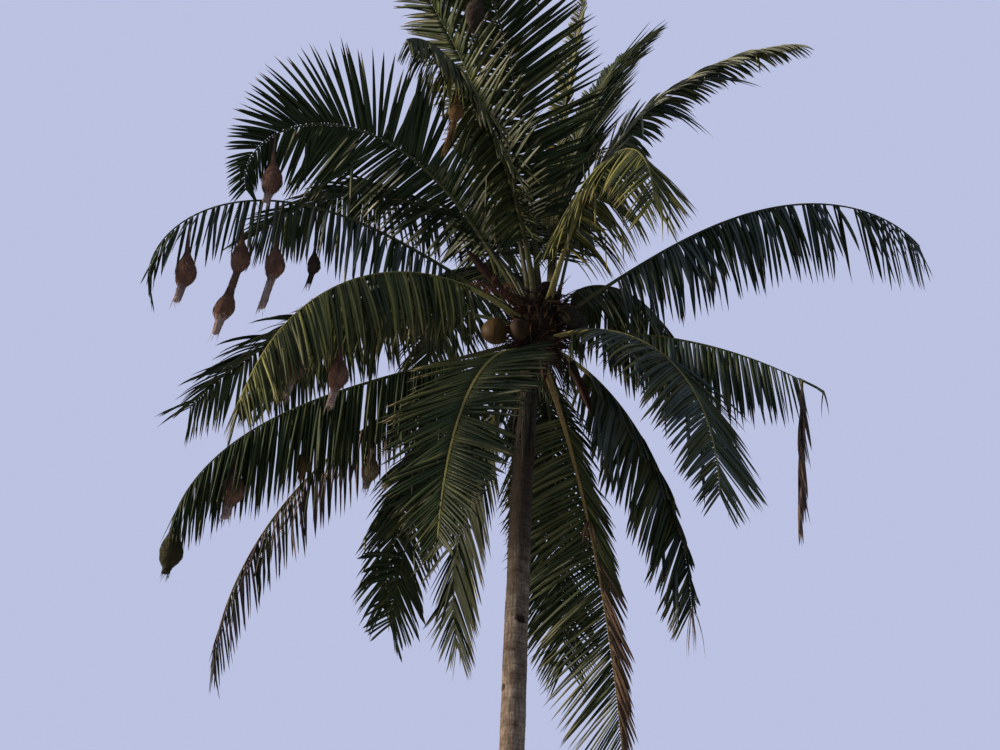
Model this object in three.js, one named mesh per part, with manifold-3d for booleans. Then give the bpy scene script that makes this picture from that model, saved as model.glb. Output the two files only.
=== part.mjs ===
// Coconut palm: a leaning ringed trunk, a fibrous crown heart, feather fronds, nut bunches,
// spathes, dry flower stalks and the woven nests that hang from the fronds.
// Millimetres, +Z up. The origin is the middle of the flat cut at ground level.
// Azimuth 0 points along +X, 90 along +Y. The photograph was taken from the -Y side.
import * as THREE from 'three';
import { mergeVertices } from 'three/addons/utils/BufferGeometryUtils.js';
import Module from 'manifold-3d';

const wasm = await Module();
wasm.setup();

const GAP = 0.35;                 // clear space between neighbouring solids
const TRUNK_HEIGHT = 11150;
const TRUNK_TOP_X = 270;          // sideways lean of the trunk's top
const TRUNK_LEAN_POWER = 2.1;     // nearly upright low down, curving over near the top
const TRUNK_SWAY = -60;           // slight bow towards -Y half way up
const TRUNK_TOP_RADIUS = 100;
const TRUNK_TAPER = 0.0043;       // radius gained per millimetre further down
const FLARE = 100;                // extra radius of the root flare at the ground
const FLARE_HEIGHT = 350;
const TRUNK_SIDES = 20;
const TRUNK_RINGS = 30;
// height, azimuth and half sizes of the rotted hollow and of a torn notch in the trunk
const HOLES = [
  [8490, -58, [66, 66, 45]],
  [7830, -156, [42, 42, 32]],
];

const HEART_Z = 11600;
const HEART_X = 385;
const HEART_SIDES = 16;
// height from the heart's centre, radius
const HEART_PROFILE = [
  [-450, 112], [-360, 168], [-220, 208], [-40, 216], [140, 192], [300, 150], [430, 100], [540, 46],
];
const HEART_LEAN = 0.15;          // the heart follows the trunk's lean

const LEAFLET_LENGTH = 1020;
const PETIOLE_SHARE = 0.17;       // bare part of a frond's rib
const LEAFLET_PAIRS = 24;         // pairs on a whole frond of the solid model
// How limp a frond is, and the share of its droop that a leaflet already has at its root.
const DROOP_START = [[0.7, 0.35], [0.95, 0.85]];
const LIFT_STIFF = 22;            // leaflets of a stiff frond stand up from its rib in a shallow V
const LIFT_LIMP = -26;            // those of a limp frond hang below it, in degrees
// Share along the rib and its full width or depth there.
const RIB_WIDTH = [[0, 92], [0.04, 74], [0.17, 52], [0.5, 30], [1, 12]];
const RIB_DEPTH = [[0, 44], [0.04, 40], [0.17, 36], [0.5, 26], [1, 11]];
// Share along the leafy part, and the leaflets' length as a share or their angle from the rib.
const LEAFLET_PROFILE = [[0, 0.5], [0.12, 0.85], [0.3, 1], [0.6, 0.96], [0.85, 0.74], [1, 0.5]];
const FORE_ANGLE = [[0, 78], [0.3, 69], [0.6, 59], [0.85, 47], [1, 34]];

// name, azimuth, launch and tip elevation, bend, length, seat height on the heart, roll, droop,
// leaflet scale
const FRONDS = [
  ['frond_spear', 58, 87, 70, 1.0, 4400, 505, 0, 0.0, 0.2],
  ['frond_01', 241, 86, 17, 1.7, 4600, 400, 0, 0.15, 1.05],
  ['frond_02', 50, 88, 46, 1.1, 4700, 350, 0, 0.25, 0.95],
  ['frond_03', 354, 79, -1, 1.6, 4290, 360, 0, 0.6, 0.95],
  ['frond_04', 289, 38, -90, 1.7, 3450, 190, 0, 0.8, 0.95],
  ['frond_05', 358, 36, -58, 2.7, 4180, 150, 0, 0.9, 0.9],
  ['frond_06', 346, -1, -36, 1.0, 2540, -90, 0, 0.96, 0.85],
  ['frond_07', 315, -4, -92, 0.95, 3400, -170, 0, 0.55, 0.85],
  ['frond_08', 51, 6, -92, 1.05, 3610, -120, 0, 0.85, 0.85],
  ['frond_09', 71, -24, -78, 0.95, 4360, -220, 0, 0.35, 1.05],
  ['frond_10', 249, -18, -82, 0.87, 3810, -330, 0, 0.3, 0.85],
  ['frond_11', 137, -38, -100, 0.8, 2990, -385, 0, 0.7, 0.85],
  ['frond_12', 158, -25, -84, 0.55, 3020, -320, 0, 0.45, 0.75],
  ['frond_13', 169, -17, -86, 1.35, 4570, -240, 0, 0.92, 0.7],
  ['frond_14', 181, -16, -76, 3.1, 3950, -165, 0, 0.95, 1.0],
  ['frond_15', 224, 19, -74, 0.85, 4430, 10, 0, 0.9, 0.95],
  ['frond_16', 183, 35, -98, 2.9, 4680, 160, 0, 0.97, 0.75],
  ['frond_17', 187, 61, -107, 2.7, 4400, 260, 60, 0.25, 1.0],
  ['frond_18', 155, 30, -42, 1.3, 4200, 80, 0, 0.5, 0.95],
  ['frond_19', 216, 81, 42, 1.4, 4100, 300, 0, 0.3, 0.75],
  ['frond_20', 246, 74, -40, 1.2, 3820, 245, 0, 0.85, 0.6],
  ['frond_21', 139, 50, -50, 1.2, 4300, 185, 0, 0.7, 0.95],
  ['frond_22', 98, 76, -15, 1.3, 4600, 320, 0, 0.5, 1.0],
  ['frond_23', 110, 60, -45, 1.3, 4600, 235, 0, 0.6, 0.95],
  ['frond_24', 30, 74, -90, 0.95, 2150, 225, 0, 0.85, 0.95],
  ['frond_25', 90, 32, -70, 1.3, 4500, 110, 0, 0.8, 0.95],
  ['frond_26', 120, 10, -80, 1.2, 4000, -40, 0, 0.7, 0.9],
  ['frond_27', 84, 2, -80, 1.0, 4100, -60, 0, 0.7, 0.9],
  ['frond_28', 152, 68, -25, 1.3, 4400, 300, 0, 0.5, 0.95],
];
// Ribs that arch right over are parted at this share of their length.
const PARTED = { frond_04: 0.5, frond_15: 0.55, frond_16: 0.62, frond_17: 0.55 };
// The snapped, dead end of a broken frond: broken rib, length, leaflet scale.
const SNAPPED = { frond_06: ['frond_06_snapped_end', 1700, 0.45] };
// Fresh yellow-green fronds, grey-green ones and dull old ones; all others are deep green.
const FROND_COLOURS = {
  frond_spear: '#6f8440', frond_04: '#7f8a45', frond_07: '#4d5f2c', frond_15: '#5a6a36',
  frond_11: '#5f6e48', frond_03: '#47583c', frond_10: '#3c4a2a', frond_13: '#4b4533',
  frond_06_snapped_end: '#6b5644',
};
const LEAF_GREEN = '#2f3d22';
// Fronds whose leaflets are folded, withered or worn. Left and right hand each hold the share of the
// usual length and angle. The tail holds where it begins, then its shares of length, angle and droop.
const HABITS = {
  frond_02: { left: [0.45, 0.4], right: [1, 0.6] },
  frond_03: { tail: [0.2, 0.5, 0.5, 1] },
  frond_04: { tail: [0.5, 1, 1, 0.75] },
  frond_05: { tail: [0.6, 1.2, 1.1, 0.75] },
  frond_06_snapped_end: { left: [1.3, 0.28], right: [1.3, 0.28] },
  frond_07: { left: [1.3, 1.1], right: [1.25, 1], tail: [0.75, 0.7, 1.3, 1] },
  frond_08: { right: [0.5, 0.3] },
  frond_09: { left: [1.05, 1.08], right: [0.62, 0.35], tail: [0.6, 1.1, 1, 1] },
  frond_10: { left: [1.05, 1.05], tail: [0.7, 0.7, 1, 1] },
  frond_11: { left: [1, 0.75], right: [0.95, 0.55] },
  frond_12: { tail: [0.6, 1.15, 1.5, 1] },
  frond_16: { tail: [0.6, 0.95, 0.7, 0.6] },
  frond_17: { tail: [0.6, 0.5, 1, 1] },
};
const USUAL = { left: [1, 1], right: [1, 1], tail: [0.6, 1, 1, 1] };

// name, azimuth, elevation, stalk length, seat height, nut size, colour, nuts as [share along stalk, turn]
const BUNCHES = [
  ['nut_bunch_left', 196, 7, 275, -60, 132, '#8a7434', [[1, 168]]],
  ['nut_bunch_front', 230, 4, 165, -55, 104, '#5c4a33', [[1, 135]]],
  ['nut_bunch_right', 338, 14, 170, 40, 98, '#4c4a2c', [[1, 5], [1, 195], [0.6, 335]]],
];
// name, azimuth, launch, tip elevation, length, greatest radius, seat height
const SPATHES = [
  ['spathe_left', 200, 40, 48, 880, 47, 190],
  ['spathe_right_low', 330, -48, -80, 950, 48, -260],
  ['spathe_middle_low', 286, -50, -84, 460, 38, -330],
];
// name, azimuth, elevation, length, seat height
const FLOWER_STALKS = [
  ['flower_stalk_left', 206, 42, 620, 140],
  ['flower_stalk_front', 226, 32, 520, 110],
];
// name, frond, share along its rib, drop to the nest's neck, chamber radius, tube length, lower chamber
const NESTS = [
  ['nest_01', 'frond_17', 0.82, 220, 105, 80, 0],
  ['nest_02', 'frond_16', 0.805, 300, 107, 160, 0],
  ['nest_03', 'frond_16', 0.68, 370, 98, 170, 102],
  ['nest_04', 'frond_16', 0.605, 440, 100, 330, 0],
  ['nest_05', 'frond_16', 0.52, 470, 66, 100, 0],
  ['nest_06', 'frond_15', 0.72, 290, 85, 120, 0],
  ['nest_07', 'frond_15', 0.56, 650, 92, 140, 0],
  ['nest_08', 'frond_14', 0.745, 170, 108, 120, 0],
  ['nest_09', 'frond_14', 0.99, 30, 108, 40, 0],
  ['nest_10', 'frond_13', 0.35, 230, 84, 60, 0],
  ['nest_11', 'frond_12', 0.5, 60, 78, 60, 0],
  ['nest_12', 'frond_01', 0.8, 420, 98, 60, 0],
  ['nest_13', 'frond_20', 0.695, 300, 66, 330, 0],
  ['nest_14', 'frond_14', 0.275, 330, 72, 40, 0],
  ['nest_15', 'frond_14', 0.545, 430, 68, 50, 0],
  ['nest_16', 'frond_15', 0.95, 30, 60, 20, 0],
];
// Depth below the neck and radius, both as shares of the chamber's radius.
const CHAMBER = [[0, 0.12], [1.6, 0.42], [2.5, 0.85], [3.2, 1], [3.8, 0.88], [4.3, 0.55], [4.8, 0.42]];
const LOWER_CHAMBER = [[2.3, 0.4], [3.3, 0.8], [4, 1], [4.6, 0.85], [5.2, 0.45]];
const TUBE_LEAN = 0.25;           // sideways drift of an entrance tube for its length

const UP = new THREE.Vector3(0, 0, 1);
const rad = THREE.MathUtils.degToRad;

function aim(azimuth, elevation) {
  const a = rad(azimuth);
  const e = rad(elevation);
  return new THREE.Vector3(Math.cos(a) * Math.cos(e), Math.sin(a) * Math.cos(e), Math.sin(e));
}

function mix(a, b, t) {
  return a + (b - a) * t;
}

// A value read off a list of [place, value] pairs, with straight lines between them.
function along(pairs, x) {
  if (x <= pairs[0][0]) return pairs[0][1];
  for (let i = 1; i < pairs.length; i += 1) {
    const [x0, y0] = pairs[i - 1];
    const [x1, y1] = pairs[i];
    if (x <= x1) return mix(y0, y1, (x - x0) / (x1 - x0));
  }
  return pairs[pairs.length - 1][1];
}

function trunkCentre(z) {
  const share = z / TRUNK_HEIGHT;
  return new THREE.Vector3(
    TRUNK_TOP_X * share ** TRUNK_LEAN_POWER,
    TRUNK_SWAY * Math.sin(Math.PI * share),
    z,
  );
}

function trunkRadius(z) {
  return TRUNK_TOP_RADIUS + TRUNK_TAPER * (TRUNK_HEIGHT - z) + FLARE * Math.exp(-z / FLARE_HEIGHT);
}

function heartCentre(height) {
  return new THREE.Vector3(HEART_X + HEART_LEAN * height, 0, HEART_Z + height);
}

// The body that rings of points bound, with a fan of triangles over each end.
function ringBody(rings) {
  const sides = rings[0].length;
  const points = rings.flat();
  const faces = [];
  for (let r = 0; r + 1 < rings.length; r += 1) {
    for (let k = 0; k < sides; k += 1) {
      const a = r * sides + k;
      const b = r * sides + (k + 1) % sides;
      faces.push([a, b, b + sides], [a, b + sides, a + sides]);
    }
  }
  const last = (rings.length - 1) * sides;
  for (let k = 1; k + 1 < sides; k += 1) {
    faces.push([0, k + 1, k], [last, last + k, last + k + 1]);
  }
  return { points, faces };
}

// Rings round a path, whose side vector is carried along without twist.
function tube(path, radiusAt, sides, flat = 1) {
  const rings = [];
  let side = new THREE.Vector3(1, 0, 0);
  const first = path[1].clone().sub(path[0]);
  if (Math.abs(first.clone().normalize().x) > 0.8) side.set(0, 1, 0);
  path.forEach((centre, i) => {
    const next = path[Math.min(i + 1, path.length - 1)];
    const before = path[Math.max(i - 1, 0)];
    const tangent = next.clone().sub(before).normalize();
    side = side.clone().addScaledVector(tangent, -side.dot(tangent)).normalize();
    const normal = tangent.clone().cross(side);
    const radius = radiusAt(i / (path.length - 1));
    const ring = [];
    for (let k = 0; k < sides; k += 1) {
      const turn = (2 * Math.PI * k) / sides;
      ring.push(centre.clone()
        .addScaledVector(side, radius * Math.cos(turn))
        .addScaledVector(normal, radius * flat * Math.sin(turn)));
    }
    rings.push(ring);
  });
  return ringBody(rings);
}

function solid({ points, faces }) {
  return new wasm.Manifold(new wasm.Mesh({
    numProp: 3,
    vertProperties: new Float32Array(points.flatMap((p) => [p.x, p.y, p.z])),
    triVerts: new Uint32Array(faces.flat()),
  }));
}

function fromGeometry(geometry) {
  const bare = geometry.clone();
  bare.deleteAttribute('normal');
  bare.deleteAttribute('uv');
  const merged = mergeVertices(bare, 1e-3);
  return new wasm.Manifold(new wasm.Mesh({
    numProp: 3,
    vertProperties: new Float32Array(merged.attributes.position.array),
    triVerts: new Uint32Array(merged.index.array),
  }));
}

function toGeometry({ points, faces }) {
  const geometry = new THREE.BufferGeometry();
  const numbers = points.flatMap((p) => [p.x, p.y, p.z]);
  geometry.setAttribute('position', new THREE.Float32BufferAttribute(numbers, 3));
  geometry.setIndex(faces.flat());
  geometry.computeVertexNormals();
  return geometry;
}

function fromSolid(body) {
  const mesh = body.getMesh();
  const points = [];
  for (let i = 0; i < mesh.vertProperties.length; i += mesh.numProp) {
    points.push(new THREE.Vector3(...mesh.vertProperties.slice(i, i + 3)));
  }
  const faces = [];
  for (let i = 0; i < mesh.triVerts.length; i += 3) {
    faces.push([...mesh.triVerts.slice(i, i + 3)]);
  }
  return { points, faces };
}

const taken = [];

function boxOf(body) {
  const { min, max } = body.boundingBox();
  return { min, max };
}

function apart(a, b, clearance) {
  return [0, 1, 2].some((k) => a.min[k] > b.max[k] + clearance || b.min[k] > a.max[k] + clearance);
}

function keep(body, owner) {
  taken.push({ body, owner, box: boxOf(body) });
}

// True when a body comes nearer than the clearance to any solid that is already placed.
function blocked(body, owner, clearance) {
  const box = boxOf(body);
  return taken.some((other) => other.owner !== owner
    && !apart(box, other.box, clearance)
    && body.minGap(other.body, clearance * 2) < clearance);
}

function trunkBody() {
  const path = [];
  for (let i = 0; i <= TRUNK_RINGS; i += 1) {
    path.push(trunkCentre(TRUNK_HEIGHT * (i / TRUNK_RINGS) ** 1.25));
  }
  const rings = path.map((centre) => {
    const radius = trunkRadius(centre.z);
    return Array.from({ length: TRUNK_SIDES }, (_, k) => {
      const turn = (2 * Math.PI * k) / TRUNK_SIDES;
      return new THREE.Vector3(
        centre.x + radius * Math.cos(turn),
        centre.y + radius * Math.sin(turn),
        centre.z,
      );
    });
  });
  let trunk = solid(ringBody(rings));
  HOLES.forEach(([height, azimuth, size]) => {
    const ball = new THREE.SphereGeometry(1, 12, 8);
    ball.scale(...size);
    const centre = trunkCentre(height).addScaledVector(aim(azimuth, 0), trunkRadius(height) - 4);
    ball.translate(centre.x, centre.y, centre.z);
    trunk = trunk.subtract(fromGeometry(ball));
  });
  return fromSolid(trunk);
}

function heartBody() {
  const rings = HEART_PROFILE.map(([height, radius]) => {
    const centre = heartCentre(height);
    if (height === HEART_PROFILE[0][0]) centre.z = TRUNK_HEIGHT + GAP;
    return Array.from({ length: HEART_SIDES }, (_, k) => {
      const turn = (2 * Math.PI * k) / HEART_SIDES;
      return new THREE.Vector3(
        centre.x + radius * Math.cos(turn),
        centre.y + radius * Math.sin(turn),
        centre.z,
      );
    });
  });
  return ringBody(rings);
}

// Slides a body one way until it clears another by the gap, and returns the shift.
function slideClear(body, way, near, far, other) {
  let blockedAt = near;
  let clearAt = far;
  for (let i = 0; i < 24; i += 1) {
    const middle = (blockedAt + clearAt) / 2;
    const moved = body.translate(way.clone().multiplyScalar(middle).toArray());
    if (moved.minGap(other, 20) < GAP) blockedAt = middle;
    else clearAt = middle;
  }
  return way.clone().multiplyScalar(clearAt);
}

function seat(body, azimuth, heart) {
  return slideClear(body, aim(azimuth, 0), -60, 260, heart);
}

function frondRow([name, azimuth, launch, tip, bend, length, height, roll, droop, scale]) {
  return { name, azimuth, launch, tip, bend, length, height, roll, droop, scale };
}

// Rib points and directions at steps along a frond, from its seat.
function ribOf(row, steps = 120) {
  const radius = along(HEART_PROFILE, row.height);
  const point = heartCentre(row.height).addScaledVector(aim(row.azimuth, 0), radius);
  const points = [point.clone()];
  const elevations = [row.launch];
  for (let i = 0; i < steps; i += 1) {
    const share = (i + 0.5) / steps;
    const elevation = mix(row.launch, row.tip, share ** row.bend);
    point.addScaledVector(aim(row.azimuth, elevation), row.length / steps);
    points.push(point.clone());
    elevations.push(mix(row.launch, row.tip, ((i + 1) / steps) ** row.bend));
  }
  return { points, elevations, steps };
}

// Place, tangent, side and upper normal of the rib at a share of its length.
function frameAt(row, rib, share) {
  const x = share * rib.steps;
  const i = Math.min(Math.floor(x), rib.steps - 1);
  const elevation = mix(rib.elevations[i], rib.elevations[i + 1], x - i);
  const tangent = aim(row.azimuth, elevation);
  const a = rad(row.azimuth);
  const roll = rad(row.roll) * Math.min(1, share * 2.5);
  const side = new THREE.Vector3(Math.sin(a), -Math.cos(a), 0).applyAxisAngle(tangent, roll);
  const normal = side.clone().cross(tangent);
  const place = rib.points[i].clone().lerp(rib.points[i + 1], x - i);
  return { place, tangent, side, normal, elevation };
}

// Chord from a leaflet's root to its tip. It leaves the rib at the fore angle and droops with length.
function leafletChord(row, frame, share, hand) {
  const blade = (share - PETIOLE_SHARE) / (1 - PETIOLE_SHARE);
  const { left, right, tail } = { ...USUAL, ...HABITS[row.name] };
  const [longer, wider] = hand > 0 ? right : left;
  const end = along([[tail[0], 0], [tail[0] + 0.25, 1]], blade);
  const fore = rad(along(FORE_ANGLE, blade) * wider * mix(1, tail[2], end));
  const lift = rad(mix(LIFT_STIFF, LIFT_LIMP, row.droop));
  const out = frame.side.clone().multiplyScalar(hand * Math.cos(lift))
    .addScaledVector(frame.normal, Math.sin(lift));
  const start = frame.tangent.clone().multiplyScalar(Math.cos(fore)).addScaledVector(out, Math.sin(fore));
  const droop = row.droop * mix(1, tail[3], end) * (0.35 + 0.65 * Math.cos(rad(frame.elevation)));
  const length = LEAFLET_LENGTH * row.scale * longer * mix(1, tail[1], end) * along(LEAFLET_PROFILE, blade);
  const droopStart = along(DROOP_START, row.droop);
  const chord = new THREE.Vector3();
  const steps = 8;
  for (let i = 0; i < steps; i += 1) {
    const pull = droop * mix(droopStart, 1, (i + 0.5) / steps);
    const step = start.clone().multiplyScalar(1 - pull).addScaledVector(UP, -pull).normalize();
    chord.addScaledVector(step, length / steps);
  }
  return chord;
}

function section(frame, share) {
  const half = along(RIB_WIDTH, share) / 2;
  const deep = along(RIB_DEPTH, share) / 2;
  return [[1, 1], [1, -1], [-1, -1], [-1, 1]].map(([u, v]) => frame.place.clone()
    .addScaledVector(frame.side, u * half)
    .addScaledVector(frame.normal, v * deep));
}

// Shares of the length at which the rib has a section: the bare stalk, then one per leaflet pair.
function stations(from, to, length) {
  const list = [];
  const bare = [0, 0.025, 0.06, 0.115];
  bare.filter((s) => s >= from).forEach((s) => list.push(s));
  const pairs = Math.round(LEAFLET_PAIRS * length / 4400);
  const blade = (1 - PETIOLE_SHARE) / pairs;
  for (let i = 0; i <= pairs; i += 1) {
    const s = PETIOLE_SHARE + blade * i;
    if (s > from + blade * 0.4 && s < to - blade * 0.4) list.push(s);
  }
  if (from > 0) list.unshift(from);
  list.push(to);
  return list;
}

function ribBody(row, rib, list) {
  return ringBody(list.map((s) => section(frameAt(row, rib, s), s)));
}

// Every side face of the rib between two stations is drawn out to the tip of a leaflet, unless
// the leaflet would touch something. A blocked one is turned or shortened first.
function dressRib(row, rib, list, body) {
  const faces = [...body.faces];
  const points = [...body.points];
  for (let j = 0; j + 1 < list.length; j += 1) {
    const share = (list[j] + list[j + 1]) / 2;
    if (share > PETIOLE_SHARE) {
      const frame = frameAt(row, rib, share);
      [-1, 1].forEach((hand) => {
        const chord = leafletChord(row, frame, share, hand);
        const corner = hand > 0 ? 0 : 2;
        const a = j * 4 + corner;
        const b = j * 4 + (corner + 1) % 4;
        const ends = [a, b, b + 4, a + 4];
        const tip = freeTip(row, frame, ends.map((k) => points[k]), chord);
        if (tip) {
          const first = faces.findIndex((f) => f[0] === a && f[1] === b);
          faces.splice(first, 2);
          points.push(tip);
          const t = points.length - 1;
          faces.push([a, b, t], [b, b + 4, t], [b + 4, a + 4, t], [a + 4, a, t]);
        }
      });
    }
  }
  return { points, faces };
}

function freeTip(row, frame, base, chord) {
  const root = base.reduce((sum, p) => sum.add(p), new THREE.Vector3()).multiplyScalar(0.25);
  const tries = [[0, 1], [7, 1], [-7, 1], [0, 0.82], [12, 0.82], [-12, 0.82], [0, 0.62], [14, 0.62],
    [-14, 0.62], [0, 0.42]];
  for (const [turn, scale] of tries) {
    const tip = root.clone()
      .add(chord.clone().applyAxisAngle(frame.tangent, rad(turn)).multiplyScalar(scale));
    const blade = solid({
      points: [...base.map((p) => p.clone()), tip],
      faces: [[0, 1, 4], [1, 2, 4], [2, 3, 4], [3, 0, 4], [0, 2, 1], [0, 3, 2]],
    });
    if (!blocked(blade, row.name, 1.5)) {
      keep(blade, row.name);
      return tip;
    }
  }
  return null;
}

function arc(start, azimuth, launch, tip, length, steps) {
  const path = [start.clone()];
  const point = start.clone();
  for (let i = 0; i < steps; i += 1) {
    const elevation = mix(launch, tip, (i + 0.5) / steps);
    point.addScaledVector(aim(azimuth, elevation), length / steps);
    path.push(point.clone());
  }
  return path;
}

function seatPoint(azimuth, height) {
  const radius = along(HEART_PROFILE, height);
  return heartCentre(height).addScaledVector(aim(azimuth, 0), radius);
}

function nut(centre, size) {
  const shape = new THREE.SphereGeometry(size, 9, 6);
  shape.scale(1, 1, 1.12);
  shape.rotateX(Math.PI / 2 * 0.25);
  shape.translate(centre.x, centre.y, centre.z);
  return fromGeometry(shape);
}

// A stalk with nuts crowded round it. Each nut touches the stalk, turned about it from the side.
function bunchBody([, azimuth, elevation, length, height, size, , nuts]) {
  const path = arc(seatPoint(azimuth, height), azimuth, elevation, elevation - 40, length, 5);
  let body = solid(tube(path, (s) => mix(24, 16, s), 6));
  const side = aim(azimuth - 90, 0);
  nuts.forEach(([share, turn]) => {
    const root = path[Math.round(share * (path.length - 1))];
    const centre = root.clone()
      .addScaledVector(side, size * 0.95 * Math.cos(rad(turn)))
      .addScaledVector(UP, -size * 0.95 * Math.sin(rad(turn)));
    body = body.add(nut(centre, size));
  });
  return body;
}

function spatheBody([, azimuth, launch, tip, length, radius, height]) {
  const path = arc(seatPoint(azimuth, height), azimuth, launch, tip, length, 9);
  const profile = [[0, 0.3], [0.3, 0.45], [0.6, 1], [0.8, 0.8], [1, 0.1]];
  return solid(tube(path, (s) => radius * along(profile, s), 8, 0.55));
}

// A dry flower stalk: a stem and thin side sprays whose roots are sunk in it.
function stalkBody([, azimuth, elevation, length, height]) {
  const path = arc(seatPoint(azimuth, height), azimuth, elevation, elevation - 30, length, 6);
  let body = solid(tube(path, (s) => mix(20, 9, s), 6));
  for (let k = 0; k < 7; k += 1) {
    const root = path[2 + Math.floor(k / 2)];
    const turn = (k % 2 ? 1 : -1) * (30 + 6 * k);
    const spray = arc(root, azimuth + turn, elevation + 12 - 6 * k, elevation - 50, 250, 4);
    body = body.add(solid(tube(spray, (s) => mix(8, 4, s), 4)));
  }
  return body;
}

// A nest hangs from the underside of a rib: cord, one or two round chambers, then an entrance tube.
function nestBody([, owner, share, drop, radius, tubeLength, lower]) {
  const { row, rib } = ribs.get(owner);
  const top = frameAt(row, rib, share).place;
  const profile = [[0, 9], [drop * 0.7, 10]];
  CHAMBER.forEach(([depth, size]) => profile.push([drop + depth * radius, size * radius]));
  const leanFrom = drop + 4.9 * radius;
  let tubeTop = leanFrom;
  if (lower) {
    LOWER_CHAMBER.forEach(([depth, size]) => profile.push([tubeTop + depth * lower, size * lower]));
    tubeTop += 5.2 * lower;
  }
  profile.push([tubeTop + tubeLength, radius * 0.4]);
  const path = profile.map(([depth]) => {
    const drift = Math.max(0, depth - leanFrom) * TUBE_LEAN;
    return new THREE.Vector3(top.x - drift, top.y, top.z - depth);
  });
  return solid(tube(path, (s) => profile[Math.round(s * (path.length - 1))][1], 8));
}

const palm = new THREE.Group();
palm.name = 'coconut_palm';

function add(name, body, colour, roughness) {
  const material = new THREE.MeshStandardMaterial({ color: colour, roughness, metalness: 0 });
  const mesh = new THREE.Mesh(toGeometry(body), material);
  mesh.name = name;
  palm.add(mesh);
}

const trunk = trunkBody();
keep(solid(trunk), 'trunk');
add('trunk', trunk, '#7d746a', 0.9);

const heart = heartBody();
const heartSolid = solid(heart);
keep(heartSolid, 'crown_heart');
add('crown_heart', heart, '#4a3928', 0.95);

// Ribs, nuts and nests are never shortened to fit, so two of them that touch are a mistake here.
function mustClear(body, name) {
  const hits = taken.filter((other) => other.owner !== name
    && !apart(boxOf(body), other.box, 1)
    && body.minGap(other.body, 1) < GAP * 0.8);
  if (hits.length) throw new Error(`${name} touches ${hits.map((hit) => hit.owner).join(' ')}`);
}

const ribs = new Map();
const pieces = [];
FRONDS.map(frondRow).forEach((row) => {
  const rib = ribOf(row);
  const whole = solid(ribBody(row, rib, stations(0, 1, row.length)));
  const shift = seat(whole, row.azimuth, heartSolid);
  rib.points.forEach((p) => p.add(shift));
  ribs.set(row.name, { row, rib });
  const cut = PARTED[row.name];
  const step = (GAP + 0.05) / row.length;
  const spans = cut ? [['_inner', 0, cut], ['_outer', cut + step, 1]] : [['', 0, 1]];
  spans.forEach(([tail, from, to]) => {
    const list = stations(from, to, row.length);
    pieces.push({ row, rib, list, name: row.name + tail });
  });
  const snapped = SNAPPED[row.name];
  if (snapped) {
    const [name, length, scale] = snapped;
    const end = { ...row, name, launch: -95, tip: -95, bend: 1, length, droop: 0.2, scale };
    const hung = ribOf(end);
    const last = frameAt(row, rib, 1);
    const list = stations(PETIOLE_SHARE, 1, length);
    const root = frameAt(end, hung, PETIOLE_SHARE).place;
    hung.points.forEach((p) => p.add(last.place).sub(root));
    const loose = solid(ribBody(end, hung, list));
    const carrier = solid(ribBody(row, rib, stations(0, 1, row.length)));
    const slid = slideClear(loose, last.tangent, 0, 160, carrier);
    hung.points.forEach((p) => p.add(slid));
    ribs.set(name, { row: end, rib: hung });
    pieces.push({ row: end, rib: hung, list, name });
  }
});
pieces.forEach((piece) => {
  piece.body = ribBody(piece.row, piece.rib, piece.list);
  const body = solid(piece.body);
  mustClear(body, piece.row.name);
  keep(body, piece.row.name);
});

function placeAll(rows, build, shiftOf, colourAt, roughness) {
  rows.forEach((row) => {
    let body = build(row);
    body = body.translate(shiftOf(body, row).toArray());
    mustClear(body, row[0]);
    keep(body, row[0]);
    add(row[0], fromSolid(body), colourAt(row), roughness);
  });
}

const onHeart = (body, row) => seat(body, row[1], heartSolid);
const underRib = (body, row) => {
  const carrier = taken.filter((other) => other.owner === row[1]);
  return slideClear(body, UP.clone().negate(), 0, 160, wasm.Manifold.compose(carrier.map((c) => c.body)));
};
placeAll(BUNCHES, bunchBody, onHeart, (row) => row[6], 0.55);
placeAll(SPATHES, spatheBody, onHeart, () => '#3d2c20', 0.85);
placeAll(FLOWER_STALKS, stalkBody, onHeart, () => '#6e4a30', 0.9);
placeAll(NESTS, nestBody, underRib, () => '#7a5a3a', 0.95);

pieces.forEach((piece) => {
  const body = dressRib(piece.row, piece.rib, piece.list, piece.body);
  const colour = FROND_COLOURS[piece.row.name] ?? LEAF_GREEN;
  add(piece.name, body, colour, 0.6);
});

export default palm;
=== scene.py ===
import logging
import math
from dataclasses import dataclass, field
from enum import Enum

import bmesh
import bpy
import numpy as np
from mathutils import Matrix, Vector


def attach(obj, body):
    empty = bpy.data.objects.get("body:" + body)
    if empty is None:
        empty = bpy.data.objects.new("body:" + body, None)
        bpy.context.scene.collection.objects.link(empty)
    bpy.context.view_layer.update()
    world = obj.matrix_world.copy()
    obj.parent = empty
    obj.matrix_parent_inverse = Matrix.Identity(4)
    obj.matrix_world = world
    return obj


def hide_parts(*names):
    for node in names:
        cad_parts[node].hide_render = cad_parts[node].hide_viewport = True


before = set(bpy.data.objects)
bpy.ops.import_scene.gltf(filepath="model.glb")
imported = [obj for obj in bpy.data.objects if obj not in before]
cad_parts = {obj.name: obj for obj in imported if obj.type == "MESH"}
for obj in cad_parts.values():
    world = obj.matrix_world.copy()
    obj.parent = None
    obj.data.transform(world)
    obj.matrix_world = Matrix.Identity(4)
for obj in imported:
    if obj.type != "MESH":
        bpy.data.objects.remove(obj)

log = logging.getLogger("coconut_palm")
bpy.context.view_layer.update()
UP = np.array([0.0, 0.0, 1.0])
SEED = 417
# Each leaf of a palm stands at this angle round the trunk from the one before.
GOLDEN_ANGLE = math.radians(137.5)
Array = np.ndarray
Mesh = bpy.types.Mesh
Socket = bpy.types.NodeSocket
Colour = tuple[float, float, float]
Pairs = list[tuple[float, float]]


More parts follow.
